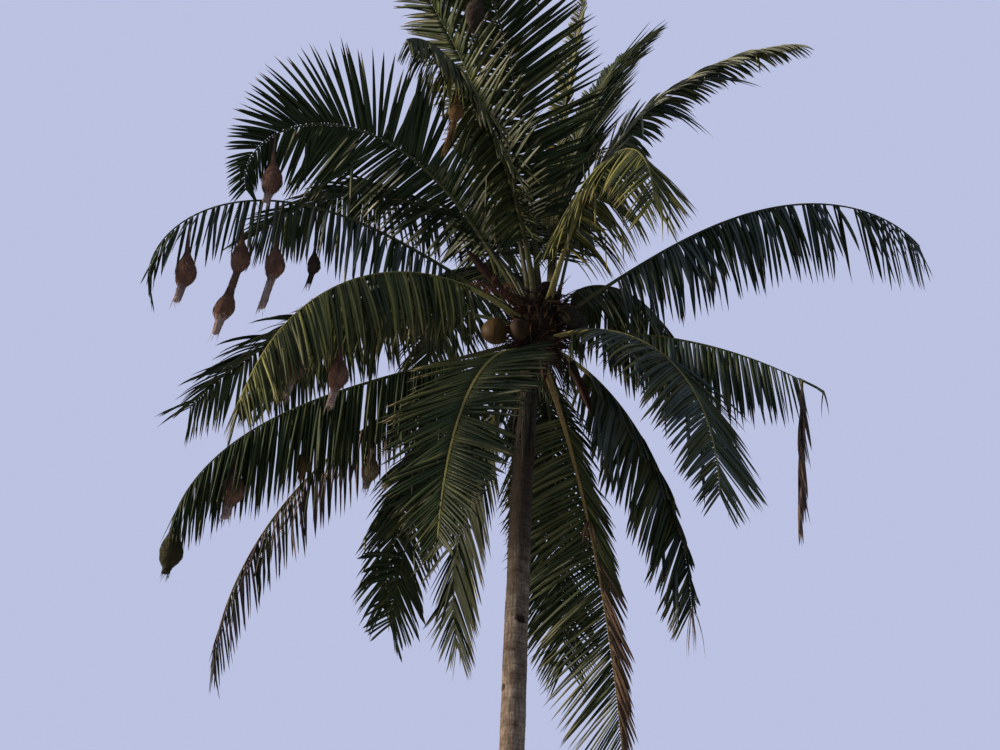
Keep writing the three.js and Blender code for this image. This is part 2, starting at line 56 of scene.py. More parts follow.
def along(pairs: Pairs, x: Array | float) -> Array:
    """Returns values read off straight lines between pairs of place and value."""
    places, values = zip(*pairs)
    return np.interp(x, places, values)


def mix(a: float, b: float, t: float) -> float:
    """Returns the value a share t of the way from a to b."""
    return a + (b - a) * t


def aim(azimuth: float, elevation: float) -> Array:
    """Returns the unit vector at an azimuth from +X towards +Y and an elevation, in degrees."""
    a, e = math.radians(azimuth), math.radians(elevation)
    return np.array([math.cos(a) * math.cos(e), math.sin(a) * math.cos(e), math.sin(e)])


def unit(v: Array) -> Array:
    """Returns vectors scaled to length one along their last axis."""
    return v / np.maximum(np.linalg.norm(v, axis=-1, keepdims=True), 1e-9)


def level(turn: Array) -> Array:
    """Returns level unit vectors at angles round the upright, in radians."""
    return np.stack([np.cos(turn), np.sin(turn), 0 * turn], axis=-1)


def turned(v: Array, axis: Array, angle: float) -> Array:
    """Returns a vector turned about a unit axis by radians."""
    c, s = math.cos(angle), math.sin(angle)
    return v * c + np.cross(axis, v) * s + axis * (axis @ v) * (1 - c)


def arc(start: Array, azimuth: float, launch: float, tip: float, length: float, steps: int,
        bend: float = 1.0) -> Array:
    """Lays out a centre line that bends from its launch to its tip.

    Args:
        start: where it leaves.
        azimuth: its compass direction in degrees.
        launch: elevation at the start.
        tip: elevation at the end.
        length: metres.
        steps: straight pieces in it.
        bend: over one where it bends most near its end.

    Returns:
        The points, steps + 1 rows.
    """
    points = [start]
    for i in range(steps):
        elevation = mix(launch, tip, ((i + 0.5) / steps) ** bend)
        points.append(points[-1] + aim(azimuth, elevation) * length / steps)
    return np.array(points)


def carried_frames(path: Array) -> tuple[Array, Array]:
    """Carries a side vector along a path without twist.

    Args:
        path: the points.

    Returns:
        The side and the normal at each point.
    """
    tangents = unit(np.gradient(path, axis=0))
    side = np.array([1.0, 0.0, 0.0]) if abs(tangents[0][0]) < 0.8 else np.array([0.0, 1.0, 0.0])
    sides = []
    for tangent in tangents:
        side = unit(side - tangent * (side @ tangent))
        sides.append(side)
    return np.array(sides), np.cross(tangents, sides)


def mesh_of(bm: bmesh.types.BMesh) -> Mesh:
    """Returns a bmesh's faces as a mesh, and frees it."""
    mesh = bpy.data.meshes.new("mesh")
    bm.to_mesh(mesh)
    bm.free()
    return mesh


def closed(bm: bmesh.types.BMesh) -> Mesh:
    """Returns a closed bmesh as a mesh with its faces outwards, and frees it."""
    bmesh.ops.recalc_face_normals(bm, faces=bm.faces[:])
    return mesh_of(bm)


def joined(meshes: list[Mesh]) -> Mesh:
    """Returns meshes joined into one, and drops the parts."""
    bm = bmesh.new()
    for mesh in meshes:
        bm.from_mesh(mesh)
        bpy.data.meshes.remove(mesh)
    return mesh_of(bm)


@dataclass
class Limb:
    """A closed limb of rings, modelled upright at unit size and then laid where it belongs."""

    sides: int
    rings: int
    groove: float = 0.0
    a: Array = field(init=False)
    b: Array = field(init=False)
    ring: Array = field(init=False)

    def __post_init__(self) -> None:
        """Extrudes a disc, cuts it into rings and keeps where each corner lies on its ring."""
        self.bm = bmesh.new()
        verts = bmesh.ops.create_circle(self.bm, cap_ends=True, radius=1.0, segments=self.sides)["verts"]
        for v in verts:
            if v.co.y > 0:
                v.co.y *= 1.0 - self.groove * (1.0 - v.co.x ** 2)
        grown = bmesh.ops.extrude_face_region(self.bm, geom=[verts[0].link_faces[0]])["geom"]
        top = [g for g in grown if isinstance(g, bmesh.types.BMVert)]
        bmesh.ops.translate(self.bm, vec=(0.0, 0.0, float(self.rings)), verts=top)
        if self.rings > 1:
            upright = [e for e in self.bm.edges if abs(e.verts[0].co.z - e.verts[1].co.z) > 0.5]
            bmesh.ops.subdivide_edges(self.bm, edges=upright, cuts=self.rings - 1)
        places = np.array([v.co[:] for v in self.bm.verts])
        self.a, self.b = places[:, 0], places[:, 1]
        self.ring = np.rint(places[:, 2]).astype(int)

    @property
    def turn(self) -> Array:
        """The angle of each corner round its ring, in radians."""
        return np.arctan2(self.b, self.a)

    @property
    def ends(self) -> Array:
        """Which corners lie on the first or the last ring."""
        return (self.ring == 0) | (self.ring == self.rings)

    def laid(self, points: Array) -> Mesh:
        """Returns the closed mesh with each corner moved to its place."""
        for v, place in zip(self.bm.verts, points.tolist()):
            v.co = place
        return closed(self.bm)

    def along_path(self, path: Array, side: Array, normal: Array, half_width: Array, half_depth: Array) -> Mesh:
        """Lays the limb along a path.

        Args:
            path: ring centres, rings + 1 rows.
            side: unit vector across each ring.
            normal: unit vector through the depth of each ring.
            half_width: size along side at each ring.
            half_depth: size along normal at each ring.

        Returns:
            The closed mesh.
        """
        k = self.ring
        points = path[k] + side[k] * (self.a * half_width[k])[:, None]
        return self.laid(points + normal[k] * (self.b * half_depth[k])[:, None])


@dataclass
class Blade:
    """A small closed blade with a flat diamond section that is repeated along curves."""

    rings: int
    places: Array = field(init=False)
    faces: list[list[int]] = field(init=False)

    def __post_init__(self) -> None:
        """Models the blade once with bmesh and keeps its corners and faces."""
        bm = Limb(4, self.rings).bm
        tip = [v for v in bm.verts if v.co.z > self.rings - 0.5]
        bmesh.ops.pointmerge(bm, verts=tip, merge_co=Vector((0.0, 0.0, self.rings)))
        bmesh.ops.recalc_face_normals(bm, faces=bm.faces[:])
        bm.verts.index_update()
        self.places = np.array([v.co[:] for v in bm.verts])
        self.faces = [[v.index for v in f.verts] for f in bm.faces]
        bm.free()

    def repeat(self, curves: Array, across: Array, outward: Array, width: Array, thick: Array, fold: float,
               shades: Array, slots: Array) -> Mesh:
        """Lays a copy of the blade along each curve and joins the copies into one mesh.

        Args:
            curves: points, n by rings + 1 by 3.
            across: unit vectors across the blade, the same shape.
            outward: unit vectors out of its upper face, the same shape.
            width: full width at each ring, n by rings + 1.
            thick: full thickness at each ring, the same shape.
            fold: how far the edges hang below the middle, as a share of the half width.
            shades: one number from 0 to 1 a copy, kept in the UV map for its colour.
            slots: material index of each copy.

        Returns:
            The joined mesh, with a UV map named leaf: U along the blade, V its shade.
        """
        count = len(curves)
        ring = np.rint(self.places[:, 2]).astype(int)
        a, b = self.places[:, 0], self.places[:, 1]
        half = width[:, ring] / 2
        points = curves[:, ring] + across[:, ring] * (a * half)[..., None]
        points = points + outward[:, ring] * (b * thick[:, ring] / 2 - np.abs(a) * fold * half)[..., None]
        sizes = np.array([len(f) for f in self.faces])
        flat = np.concatenate([np.array(f) for f in self.faces])
        corners = (np.arange(count)[:, None] * len(self.places) + flat).ravel()
        all_sizes = np.tile(sizes, count)
        starts = np.concatenate([[0], np.cumsum(all_sizes)[:-1]])
        mesh = bpy.data.meshes.new("blades")
        mesh.vertices.add(count * len(self.places))
        mesh.vertices.foreach_set("co", points.astype(np.float32).ravel())
        mesh.loops.add(len(corners))
        mesh.loops.foreach_set("vertex_index", corners.astype(np.int32))
        mesh.polygons.add(len(all_sizes))
        mesh.polygons.foreach_set("loop_start", starts.astype(np.int32))
        mesh.polygons.foreach_set("material_index", np.repeat(slots, len(sizes)).astype(np.int32))
        mesh.update(calc_edges=True)
        uv = np.stack([np.tile(ring[flat] / self.rings, count), np.repeat(shades, len(flat))], axis=1)
        mesh.uv_layers.new(name="leaf").data.foreach_set("uv", uv.astype(np.float32).ravel())
        return mesh


BLADE = Blade(7)
STRAW = Blade(4)
STRAW_STEPS = np.linspace(0.0, 1.0, STRAW.rings + 1)


def strands_along(curve: Array, rng: np.random.Generator, width: float, slots: int = 1) -> Mesh:
    """Lays thin strands along curves.

    Args:
        curve: points, n by rings + 1 by 3.
        rng: the source of their shades and finishes.
        width: the widest that a strand is.
        slots: how many finishes are dealt out.

    Returns:
        The joined mesh.
    """
    n, rings = curve.shape[0], curve.shape[1] - 1
    heading = unit(np.gradient(curve, axis=1))
    across = unit(np.cross(heading, unit(rng.normal(0.0, 1.0, (n, 1, 3)))))
    taper = np.interp(np.linspace(0.0, 1.0, rings + 1), [0.0, 0.5, 1.0], [0.8, 1.0, 0.0])
    wide = rng.uniform(0.6, 1.0, n)[:, None] * width * taper
    blade = STRAW if rings == STRAW.rings else BLADE
    shade = rng.random(n)
    return blade.repeat(curve, across, np.cross(heading, across), wide, wide * 0.6, 0.0, shade,
                        rng.integers(0, slots, n))


class NodeBench:
    """Places and links shader nodes in one tree."""

    def __init__(self, tree: bpy.types.NodeTree) -> None:
        """Keeps the tree that is being built."""
        self.tree = tree

    def feed(self, node: bpy.types.Node, values: dict[int | str, object]) -> None:
        """Links outputs to a node's inputs, or sets the inputs' values.

        Args:
            node: the node.
            values: an output socket or a value for each input's name or number.
        """
        for key, value in values.items():
            if isinstance(value, Socket):
                self.tree.links.new(value, node.inputs[key])
            else:
                node.inputs[key].default_value = value

    def node(self, kind: str, **inputs: object) -> bpy.types.Node:
        """Returns a new node with its inputs fed, their names written with _ for a space."""
        made = self.tree.nodes.new("ShaderNode" + kind)
        self.feed(made, {name.replace("_", " "): value for name, value in inputs.items()})
        return made

    def ramp(self, factor: Socket, low: float, high: float) -> Socket:
        """Returns a mask that rises from 0 at low to 1 at high."""
        return self.node("MapRange", Value=factor, From_Min=low, From_Max=high).outputs["Result"]

    def blend(self, factor: object, a: object, b: object) -> Socket:
        """Returns colour a turned into colour b by a factor."""
        made = self.node("Mix")
        made.data_type = "RGBA"
        a, b = ((*colour, 1.0) if isinstance(colour, tuple) else colour for colour in (a, b))
        self.feed(made, {0: factor, 6: a, 7: b})
        return made.outputs[2]

    def math(self, operation: str, *values: object) -> Socket:
        """Returns a sum, product or other simple result of values."""
        made = self.node("Math")
        made.operation = operation
        self.feed(made, dict(enumerate(values)))
        return made.outputs[0]

    def mask(self, group: bpy.types.NodeTree, scale: float) -> Socket:
        """Returns the mask of a shared group at a scale."""
        made = self.node("Group")
        made.node_tree = group
        self.feed(made, {"Scale": scale})
        return made.outputs["Mask"]


def mask_group(name: str, stretch: float, detail: float, rough: float, low: float,
               high: float) -> bpy.types.NodeTree:
    """Builds a group that gives a mask of noise at a scale.

    Args:
        name: the group's name.
        stretch: how much slower the noise changes upwards than across.
        detail: octaves of the noise.
        rough: strength of its finer octaves.
        low: the noise below which the mask is 0.
        high: the noise above which it is 1.

    Returns:
        The group, with Scale in, and Mask out.
    """
    group = bpy.data.node_groups.new(name, "ShaderNodeTree")
    group.interface.new_socket("Scale", in_out="INPUT", socket_type="NodeSocketFloat")
    group.interface.new_socket("Mask", in_out="OUTPUT", socket_type="NodeSocketFloat")
    bench = NodeBench(group)
    scale = group.nodes.new("NodeGroupInput").outputs["Scale"]
    leave = group.nodes.new("NodeGroupOutput")
    place = bench.node("Mapping", Vector=bench.node("TexCoord").outputs["Object"], Scale=(1.0, 1.0, stretch))
    noise = bench.node("TexNoise", Vector=place.outputs["Vector"], Scale=scale, Detail=detail, Roughness=rough)
    bench.feed(leave, {"Mask": bench.ramp(noise.outputs["Fac"], low, high)})
    return group


# Soft blotches are left by age, sun and lichen. Fine upright streaks are in bark, husk and dry sheath.
BLOTCHES = mask_group("blotches", 1.0, 5.0, 0.5, 0.38, 0.64)
STREAKS = mask_group("streaks", 0.12, 6.0, 0.65, 0.35, 0.68)


@dataclass(frozen=True)
class Finish:
    """A surface whose colour runs between two shades, with streaks, blotches and a bump."""

    name: str
    low: Colour
    high: Colour
    patch: Colour
    roughness: float = 0.8
    blotch_scale: float = 3.0
    streak_scale: float = 60.0
    bump: float = 0.5
    patch_share: float = 0.6
    # Names a point attribute that darkens the colour, for painted shade in hollows and under the crown.
    relief: str = ""
    specular: float = 0.15

    def material(self) -> bpy.types.Material:
        """Returns the material of this finish, built at its first use."""
        if self.name not in bpy.data.materials:
            material = bpy.data.materials.new(self.name)
            material.use_nodes = True
            shader = material.node_tree.nodes["Principled BSDF"]
            shader.inputs["Specular IOR Level"].default_value = self.specular
            self.dress(NodeBench(material.node_tree), shader)
        return bpy.data.materials[self.name]

    def dress(self, bench: NodeBench, shader: bpy.types.Node) -> None:
        """Builds the colour, roughness and bump.

        Args:
            bench: the material's node bench.
            shader: its shader.
        """
        streak = bench.mask(STREAKS, self.streak_scale)
        share = bench.math("MULTIPLY", bench.mask(BLOTCHES, self.blotch_scale), self.patch_share)
        colour = bench.blend(share, bench.blend(streak, self.low, self.high), self.patch)
        # Painted shade: where the attribute is high the colour darkens towards three tenths of the low shade.
        if self.relief:
            hollow = bench.node("Attribute")
            hollow.attribute_name = self.relief
            colour = bench.blend(hollow.outputs["Fac"], colour, tuple(c * 0.3 for c in self.low))
        rough = bench.math("MULTIPLY_ADD", streak, 0.12, self.roughness - 0.06)
        bump = bench.node("Bump", Height=streak, Strength=self.bump, Distance=0.004)
        bench.feed(shader, {"Base Color": colour, "Roughness": rough, "Normal": bump.outputs["Normal"]})


@dataclass(frozen=True)
class LeafFinish(Finish):
    """A leaf surface: its shade differs from leaflet to leaflet, and its tips dry to the patch colour."""

    roughness: float = 0.45
    streak_scale: float = 90.0
    blotch_scale: float = 5.0
    specular: float = 0.22
    tip_from: float = 0.8

    def dress(self, bench: NodeBench, shader: bpy.types.Node) -> None:
        """Builds the colour, roughness and bump.

        Args:
            bench: the material's node bench.
            shader: its shader.
        """
        uv = bench.node("UVMap")
        uv.uv_map = "leaf"
        parts = bench.node("SeparateXYZ", Vector=uv.outputs["UV"]).outputs
        blotch = bench.mask(BLOTCHES, self.blotch_scale)
        colour = bench.blend(bench.math("MULTIPLY", blotch, 0.45), bench.blend(parts["Y"], self.low, self.high),
                             tuple(c * 0.62 for c in self.low))
        reach = bench.math("ADD", parts["X"], bench.math("MULTIPLY_ADD", parts["Y"], 0.3, -0.15))
        colour = bench.blend(bench.ramp(reach, self.tip_from, self.tip_from + 0.22), colour, self.patch)
        rough = bench.math("MULTIPLY_ADD", blotch, 0.15, self.roughness)
        streak = bench.mask(STREAKS, self.streak_scale)
        bump = bench.node("Bump", Height=streak, Strength=0.25, Distance=0.002)
        bench.feed(shader, {"Base Color": colour, "Roughness": rough, "Normal": bump.outputs["Normal"]})


def finish_piece(name: str, mesh: Mesh, finishes: list[Finish], slot: str, *nodes: str) -> None:
    """Makes a smooth object of a mesh, dresses it and ties it to the frame.

    Args:
        name: the piece's name.
        mesh: its mesh, in place.
        finishes: its finishes in the order of its material slots.
        slot: the record's material slot that it stands under; not used.
        nodes: CAD nodes that it takes the place of.
    """
    mesh.name = name
    for finish in finishes:
        mesh.materials.append(finish.material())
    mesh.polygons.foreach_set("use_smooth", np.ones(len(mesh.polygons), dtype=bool))
    piece = bpy.data.objects.new(name, mesh)
    bpy.context.collection.objects.link(piece)
    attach(piece, "root")
    if nodes:
        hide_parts(*nodes)
    log.info("%s: %d faces", name, len(mesh.polygons))


class LeafTone(Enum):
    """The leaf colours that the crown shows."""

    DEEP = LeafFinish("leaf_deep_green", (0.017, 0.030, 0.010), (0.039, 0.062, 0.020), (0.052, 0.046, 0.024))
    # Bluer and lighter than the leaves' own green: a painted sky sheen on the right-hand fronds.
    TEAL = LeafFinish("leaf_blue_green", (0.036, 0.055, 0.050), (0.084, 0.116, 0.106), (0.080, 0.074, 0.060))
    OLIVE = LeafFinish("leaf_olive", (0.042, 0.052, 0.018), (0.090, 0.102, 0.034), (0.11, 0.08, 0.035))
    # Partly the young leaves' own yellow-green, partly a painted glow of sun shining through leaflets.
    FRESH = LeafFinish("leaf_yellow_green", (0.135, 0.148, 0.042), (0.280, 0.275, 0.088), (0.26, 0.21, 0.09))
    # A painted sheen: the pale grey-green of frond_03's lit upper row.
    GREY = LeafFinish("leaf_grey_green", (0.185, 0.208, 0.145), (0.370, 0.390, 0.280), (0.26, 0.23, 0.17))
    # Painted light: frond_11's pale sheen and sunlight put into its leaflets' colour.
    PALE = LeafFinish("leaf_painted_pale_sheen", (0.340, 0.340, 0.170), (0.620, 0.595, 0.340), (0.4, 0.33, 0.18))
    WILTED = LeafFinish("leaf_wilted", (0.070, 0.052, 0.050), (0.155, 0.118, 0.115), (0.11, 0.08, 0.075), 0.65)
    DEAD = LeafFinish("leaf_dead", (0.070, 0.045, 0.030), (0.165, 0.112, 0.080), (0.1, 0.07, 0.05), 0.8)


class RibTone(Enum):
    """The colours of the fronds' stalks and ribs."""

    GREEN = Finish("rib_green", (0.032, 0.041, 0.014), (0.074, 0.083, 0.030), (0.05, 0.04, 0.022),
                   0.5, 2.0, 40.0, 0.3)
    FRESH = Finish("rib_yellow_green", (0.150, 0.155, 0.045), (0.290, 0.275, 0.095), (0.16, 0.12, 0.05),
                   0.45, 2.5, 40.0, 0.3)
    BROWN = Finish("rib_brown", (0.120, 0.088, 0.034), (0.250, 0.188, 0.072), (0.10, 0.078, 0.04),
                   0.6, 2.5, 45.0, 0.4)


# The bark darkens where its attribute is high: painted shade in the ring grooves and dents, and under the crown
# partly painted shade, partly darker bark.
BARK = Finish("palm_bark", (0.120, 0.091, 0.069), (0.375, 0.315, 0.264), (0.076, 0.053, 0.039),
              0.9, 8.0, 60.0, 0.9, 0.78, relief="painted_shade_and_dark_bark")
# The heart's fibre: its own dark brown, darkened further as painted shade under the crown.
FIBRE = Finish("leaf_base_fibre", (0.012, 0.009, 0.007), (0.034, 0.025, 0.018), (0.009, 0.007, 0.006),
               0.95, 6.0, 110.0, 0.8)
STRAND = Finish("loose_fibre", (0.046, 0.030, 0.020), (0.100, 0.068, 0.046), (0.03, 0.02, 0.014),
                0.9, 9.0, 90.0, 0.4)
# The husks: their own gold, brown and green, darkened as painted shade in the heart of the crown.
HUSK_GOLD = Finish("husk_green_gold", (0.036, 0.021, 0.006), (0.092, 0.054, 0.013), (0.02, 0.011, 0.005),
                   0.6, 7.0, 35.0, 0.25)
HUSK_BROWN = Finish("husk_brown", (0.020, 0.011, 0.005), (0.052, 0.029, 0.012), (0.014, 0.008, 0.005),
                    0.7, 8.0, 50.0, 0.4)
# Darkest of all, as painted shade: the right-hand bunch hangs in the heart's shadow.
HUSK_DARK = Finish("husk_dark_green", (0.008, 0.009, 0.005), (0.020, 0.020, 0.010), (0.017, 0.012, 0.008),
                   0.6, 7.0, 35.0, 0.25)
# The sheaths: their own dark brown, darkened further as painted shade deep in the crown.
SHEATH = Finish("dry_sheath", (0.017, 0.012, 0.009), (0.050, 0.036, 0.027), (0.03, 0.023, 0.018),
                0.85, 5.0, 120.0, 0.9)
OLD_SHEATH = Finish("weathered_sheath", (0.024, 0.023, 0.017), (0.075, 0.074, 0.058), (0.05, 0.035, 0.024),
                    0.9, 7.0, 110.0, 0.9)
STALK = Finish("dry_flower_stalk", (0.050, 0.021, 0.012), (0.140, 0.060, 0.034), (0.045, 0.026, 0.018),
               0.85, 9.0, 60.0, 0.4)
OLD_STALK = Finish("dark_flower_stalk", (0.014, 0.009, 0.006), (0.040, 0.025, 0.017), (0.012, 0.009, 0.007),
                   0.9, 9.0, 60.0, 0.4)
WOODY = Finish("woody_spathe", (0.018, 0.008, 0.006), (0.062, 0.027, 0.019), (0.015, 0.008, 0.006),
               0.75, 6.0, 90.0, 0.7)


def woven(name: str, wall: tuple[Colour, ...], straw: tuple[Colour, ...]) -> tuple[Finish, LeafFinish]:
    """Returns a nest's wall finish and its loose straw finish, of three colours each."""
    return Finish("nest_" + name, *wall, 0.95, 9.0, 55.0, 0.9), LeafFinish("straw_" + name, *straw, 0.9)


class StrawTone(Enum):
    """The nests' colours. The entrance tubes are woven of paler, thinner grass than the chambers."""

    BROWN = woven("brown", ((0.105, 0.056, 0.040), (0.250, 0.140, 0.102), (0.055, 0.030, 0.022)),
                  ((0.100, 0.054, 0.043), (0.285, 0.160, 0.128), (0.19, 0.11, 0.085)))
    TAN = woven("tan", ((0.150, 0.122, 0.072), (0.320, 0.265, 0.165), (0.10, 0.08, 0.048)),
                ((0.180, 0.146, 0.086), (0.420, 0.350, 0.220), (0.28, 0.23, 0.14)))
    ORANGE = woven("orange", ((0.085, 0.045, 0.018), (0.190, 0.108, 0.045), (0.05, 0.03, 0.015)),
                   ((0.100, 0.056, 0.022), (0.260, 0.155, 0.062), (0.16, 0.1, 0.05)))
    GREEN = woven("green", ((0.022, 0.022, 0.010), (0.054, 0.050, 0.024), (0.016, 0.014, 0.008)),
                  ((0.028, 0.028, 0.012), (0.078, 0.072, 0.034), (0.05, 0.042, 0.024)))
    DARK = woven("dark", ((0.024, 0.018, 0.014), (0.070, 0.052, 0.040), (0.02, 0.015, 0.012)),
                 ((0.030, 0.022, 0.016), (0.095, 0.070, 0.050), (0.06, 0.045, 0.03)))
    TUBE = woven("tube", ((0.230, 0.168, 0.155), (0.520, 0.400, 0.380), (0.14, 0.095, 0.085)),
                 ((0.240, 0.178, 0.165), (0.600, 0.470, 0.445), (0.42, 0.32, 0.29)))


# The crown heart's height from its centre, and its radius there.
HEART_PROFILE = [(-0.450, 0.112), (-0.360, 0.168), (-0.220, 0.208), (-0.040, 0.216), (0.140, 0.192),
                 (0.300, 0.150), (0.430, 0.100), (0.540, 0.046)]
HEART_X = 0.385
HEART_HEIGHT = 11.600
HEART_LEAN = 0.15
# The clear gap between the heart and the end face of a limb that it carries.
GAP = 0.00035


def heart_centre(height: Array | float) -> Array:
    """Returns the middle of the crown heart at heights from its centre."""
    return np.stack([HEART_X + HEART_LEAN * height, 0.0 * height, HEART_HEIGHT + height], axis=-1)


def seat_place(azimuth: float, height: float, elevation: float, half_depth: float) -> Array:
    """Finds where a limb meets the crown heart, with its end face clear of it.

    Args:
        azimuth: the limb's compass direction.
        height: height of its seat from the heart's centre.
        elevation: the limb's direction above the horizon.
        half_depth: half the limb's depth at its end.

    Returns:
        The middle of its end face.
    """
    e = math.radians(elevation)
    reach = max(float(along(HEART_PROFILE, height + v * math.cos(e))) + v * math.sin(e)
                for v in (-half_depth, 0.0, half_depth))
    return heart_centre(height) + aim(azimuth, 0.0) * (reach + GAP)


class Grown:
    """A piece of the palm with its own source of natural spread."""

    rng: np.random.Generator

    def grow(self, seed: int) -> None:
        """Seeds the spread and builds the piece."""
        self.rng = np.random.default_rng(SEED + seed)
        self.build()

    def build(self) -> None:
        """Models and dresses the piece."""
        raise NotImplementedError


@dataclass
class Dent:
    """A hollow in the trunk: its half width, half height and depth, and the depth where its painted shade is full.
    """

    height: float
    azimuth: float
    size: tuple[float, float, float]
    painted_shade_depth: float

    def depth(self, z: Array, turn: Array, radius: Array) -> Array:
        """Measures how deep the hollow cuts in.

        Args:
            z: heights of the corners.
            turn: their angles round the trunk.
            radius: the trunk's radius there.

        Returns:
            The depth at each corner, with a slight callus round the rim.
        """
        across = np.angle(np.exp(1j * (turn - math.radians(self.azimuth)))) * radius
        away = np.hypot(across / self.size[0], (z - self.height) / self.size[1])
        callus = 0.09 * np.exp(-((away - 1.25) / 0.22) ** 2)
        return self.size[2] * (np.clip(1.0 - away ** 2, 0.0, 1.0) ** 0.45 - callus)


@dataclass
class Trunk(Grown):
    """The leaning trunk, ringed with the scars of shed leaves, with a hollow and a torn notch.

    Each of the scars has four rings, at scar_offsets from its height and standing out by scar_steps.
    """

    height: float = 11.150
    top_x: float = 0.270
    lean_power: float = 2.1
    sway: float = -0.060
    top_radius: float = 0.100
    taper: float = 0.0043
    flare: float = 0.100
    flare_height: float = 0.350
    scar_pitch: float = 0.045
    scar_tilt: float = 0.005
    scar_offsets: tuple[float, ...] = (-0.005, 0.0, 0.005, 0.022)
    scar_steps: tuple[float, ...] = (0.0016, -0.0028, -0.0012, 0.0004)
    sides: int = 56
    dents: tuple[Dent, ...] = (Dent(8.490, -58.0, (0.064, 0.045, 0.056), 0.02),
                               Dent(7.830, -156.0, (0.042, 0.032, 0.034), 0.016))
    # Partly painted shade under the crown and partly darker bark: the share that the bark darkens at each height.
    crown_shade: tuple[tuple[float, float], ...] = ((8.7, 0.0), (9.05, 0.42), (9.25, 0.78), (9.9, 0.92))
    sheath_strips: int = 26
    strip_rings: int = 12

    def centre(self, z: Array) -> Array:
        """Returns the trunk's middle at each height."""
        share = np.clip(z / self.height, 0.0, 1.0)
        return np.stack([self.top_x * share ** self.lean_power, self.sway * np.sin(np.pi * share), z], axis=-1)

    def radius(self, z: Array) -> Array:
        """Returns the trunk's plain radius at each height."""
        return self.top_radius + self.taper * (self.height - z) + self.flare * np.exp(-z / self.flare_height)

    def build(self) -> None:
        """Models the bark with its rings, cracks and dents, and the sheaths at its top."""
        rng = self.rng
        scars = int((self.height - 0.05) / self.scar_pitch)
        steps = np.array(self.scar_steps)
        per_scar = len(steps)
        limb = Limb(self.sides, scars * per_scar + 1)
        turn, ring, ends = limb.turn, limb.ring, limb.ends
        k = np.clip((ring - 1) // per_scar, 0, scars - 1)
        j = (ring - 1) % per_scar
        scar_height = (k + 1) * self.scar_pitch * 0.985 + rng.normal(0.0, 0.004, scars)[k]
        facing = turn - GOLDEN_ANGLE * k
        z = scar_height + np.array(self.scar_offsets)[j] + self.scar_tilt * np.cos(facing)
        z = np.where(ends, np.where(ring == 0, 0.0, self.height), z)
        side = np.rint((turn / (2 * np.pi) % 1.0) * self.sides).astype(int) % self.sides
        grain = rng.normal(0.0, 1.0, (scars, self.sides))
        grain = ((grain + np.roll(grain, 1, axis=1)) * 0.5)[k, side]
        uneven = rng.uniform(0.4, 1.7, scars)[k]
        relief = uneven * steps[j] * (0.75 + 0.35 * np.cos(facing)) + 0.0009 * grain
        swell = np.sin(z * 5.1 + turn) + np.sin(z * 11.7 - 2 * turn + 1.3) + np.sin(z * 2.3 + 3 * turn)
        boss = np.abs(np.sin(turn * 5.5 + z * 9.0)) * np.exp(-z / 0.22)
        relief = relief + 0.0016 * swell + 0.016 * boss
        depths = [dent.depth(z, turn, self.radius(z)) for dent in self.dents]
        relief = np.where(ends, 0.0, relief - depths[0] - depths[1])
        mesh = limb.laid(self.centre(z) + level(turn) * (self.radius(z) + relief)[:, None])
        # Painted shade: the ring grooves and the dents darken with their depth, and under the crown the bark
        # darkens with height, partly as shade and partly as darker bark.
        groove = np.clip(-steps[j] / 0.0028, 0.0, 1.0) * rng.uniform(0.05, 0.6, scars)[k]
        shade = np.where(ends, 0.0, groove * np.clip(0.75 + 0.45 * grain, 0.1, 1.4))
        for dent, depth in zip(self.dents, depths):
            shade = shade + np.clip(depth / dent.painted_shade_depth, 0.0, 1.0)
        shade = np.maximum(np.clip(shade, 0.0, 1.0), along(self.crown_shade, z))
        mesh.attributes.new("painted_shade_and_dark_bark", "FLOAT", "POINT").data.foreach_set("value", shade.astype(np.float32))
        finish_piece("trunk_bark", mesh, [BARK], "bark", "trunk")
        finish_piece("old_sheaths", self.old_sheaths(), [OLD_SHEATH], "bark", "trunk")

    def old_sheaths(self) -> Mesh:
        """Lays the torn remains of old leaf sheaths round the trunk's top.

        Returns:
            The joined mesh.
        """
        strips, rng, n = [], self.rng, self.strip_rings + 1
        for i in range(self.sheath_strips):
            turn = rng.uniform(0.0, 2 * np.pi) + 0.12 * np.sin(np.linspace(0.0, 3.0, n) + i)
            z = np.linspace(rng.uniform(10.75, 11.14), rng.uniform(10.05, 10.7), n)
            outward = level(turn)
            stand = 0.004 + rng.uniform(0.0, 0.006) + rng.uniform(0.0, 0.03) * np.linspace(0.0, 1.0, n) ** 3
            path = self.centre(z) + outward * (self.radius(z) + stand)[:, None]
            side = np.stack([-np.sin(turn), np.cos(turn), 0 * turn], axis=-1)
            half = rng.uniform(0.012, 0.045) * np.interp(np.arange(n), [0, 8, 12], [1.0, 0.8, 0.15])
            half = half * rng.uniform(0.8, 1.15, n)
            strips.append(Limb(8, self.strip_rings).along_path(path, side, outward, half, np.full(n, 0.003)))
        return joined(strips)


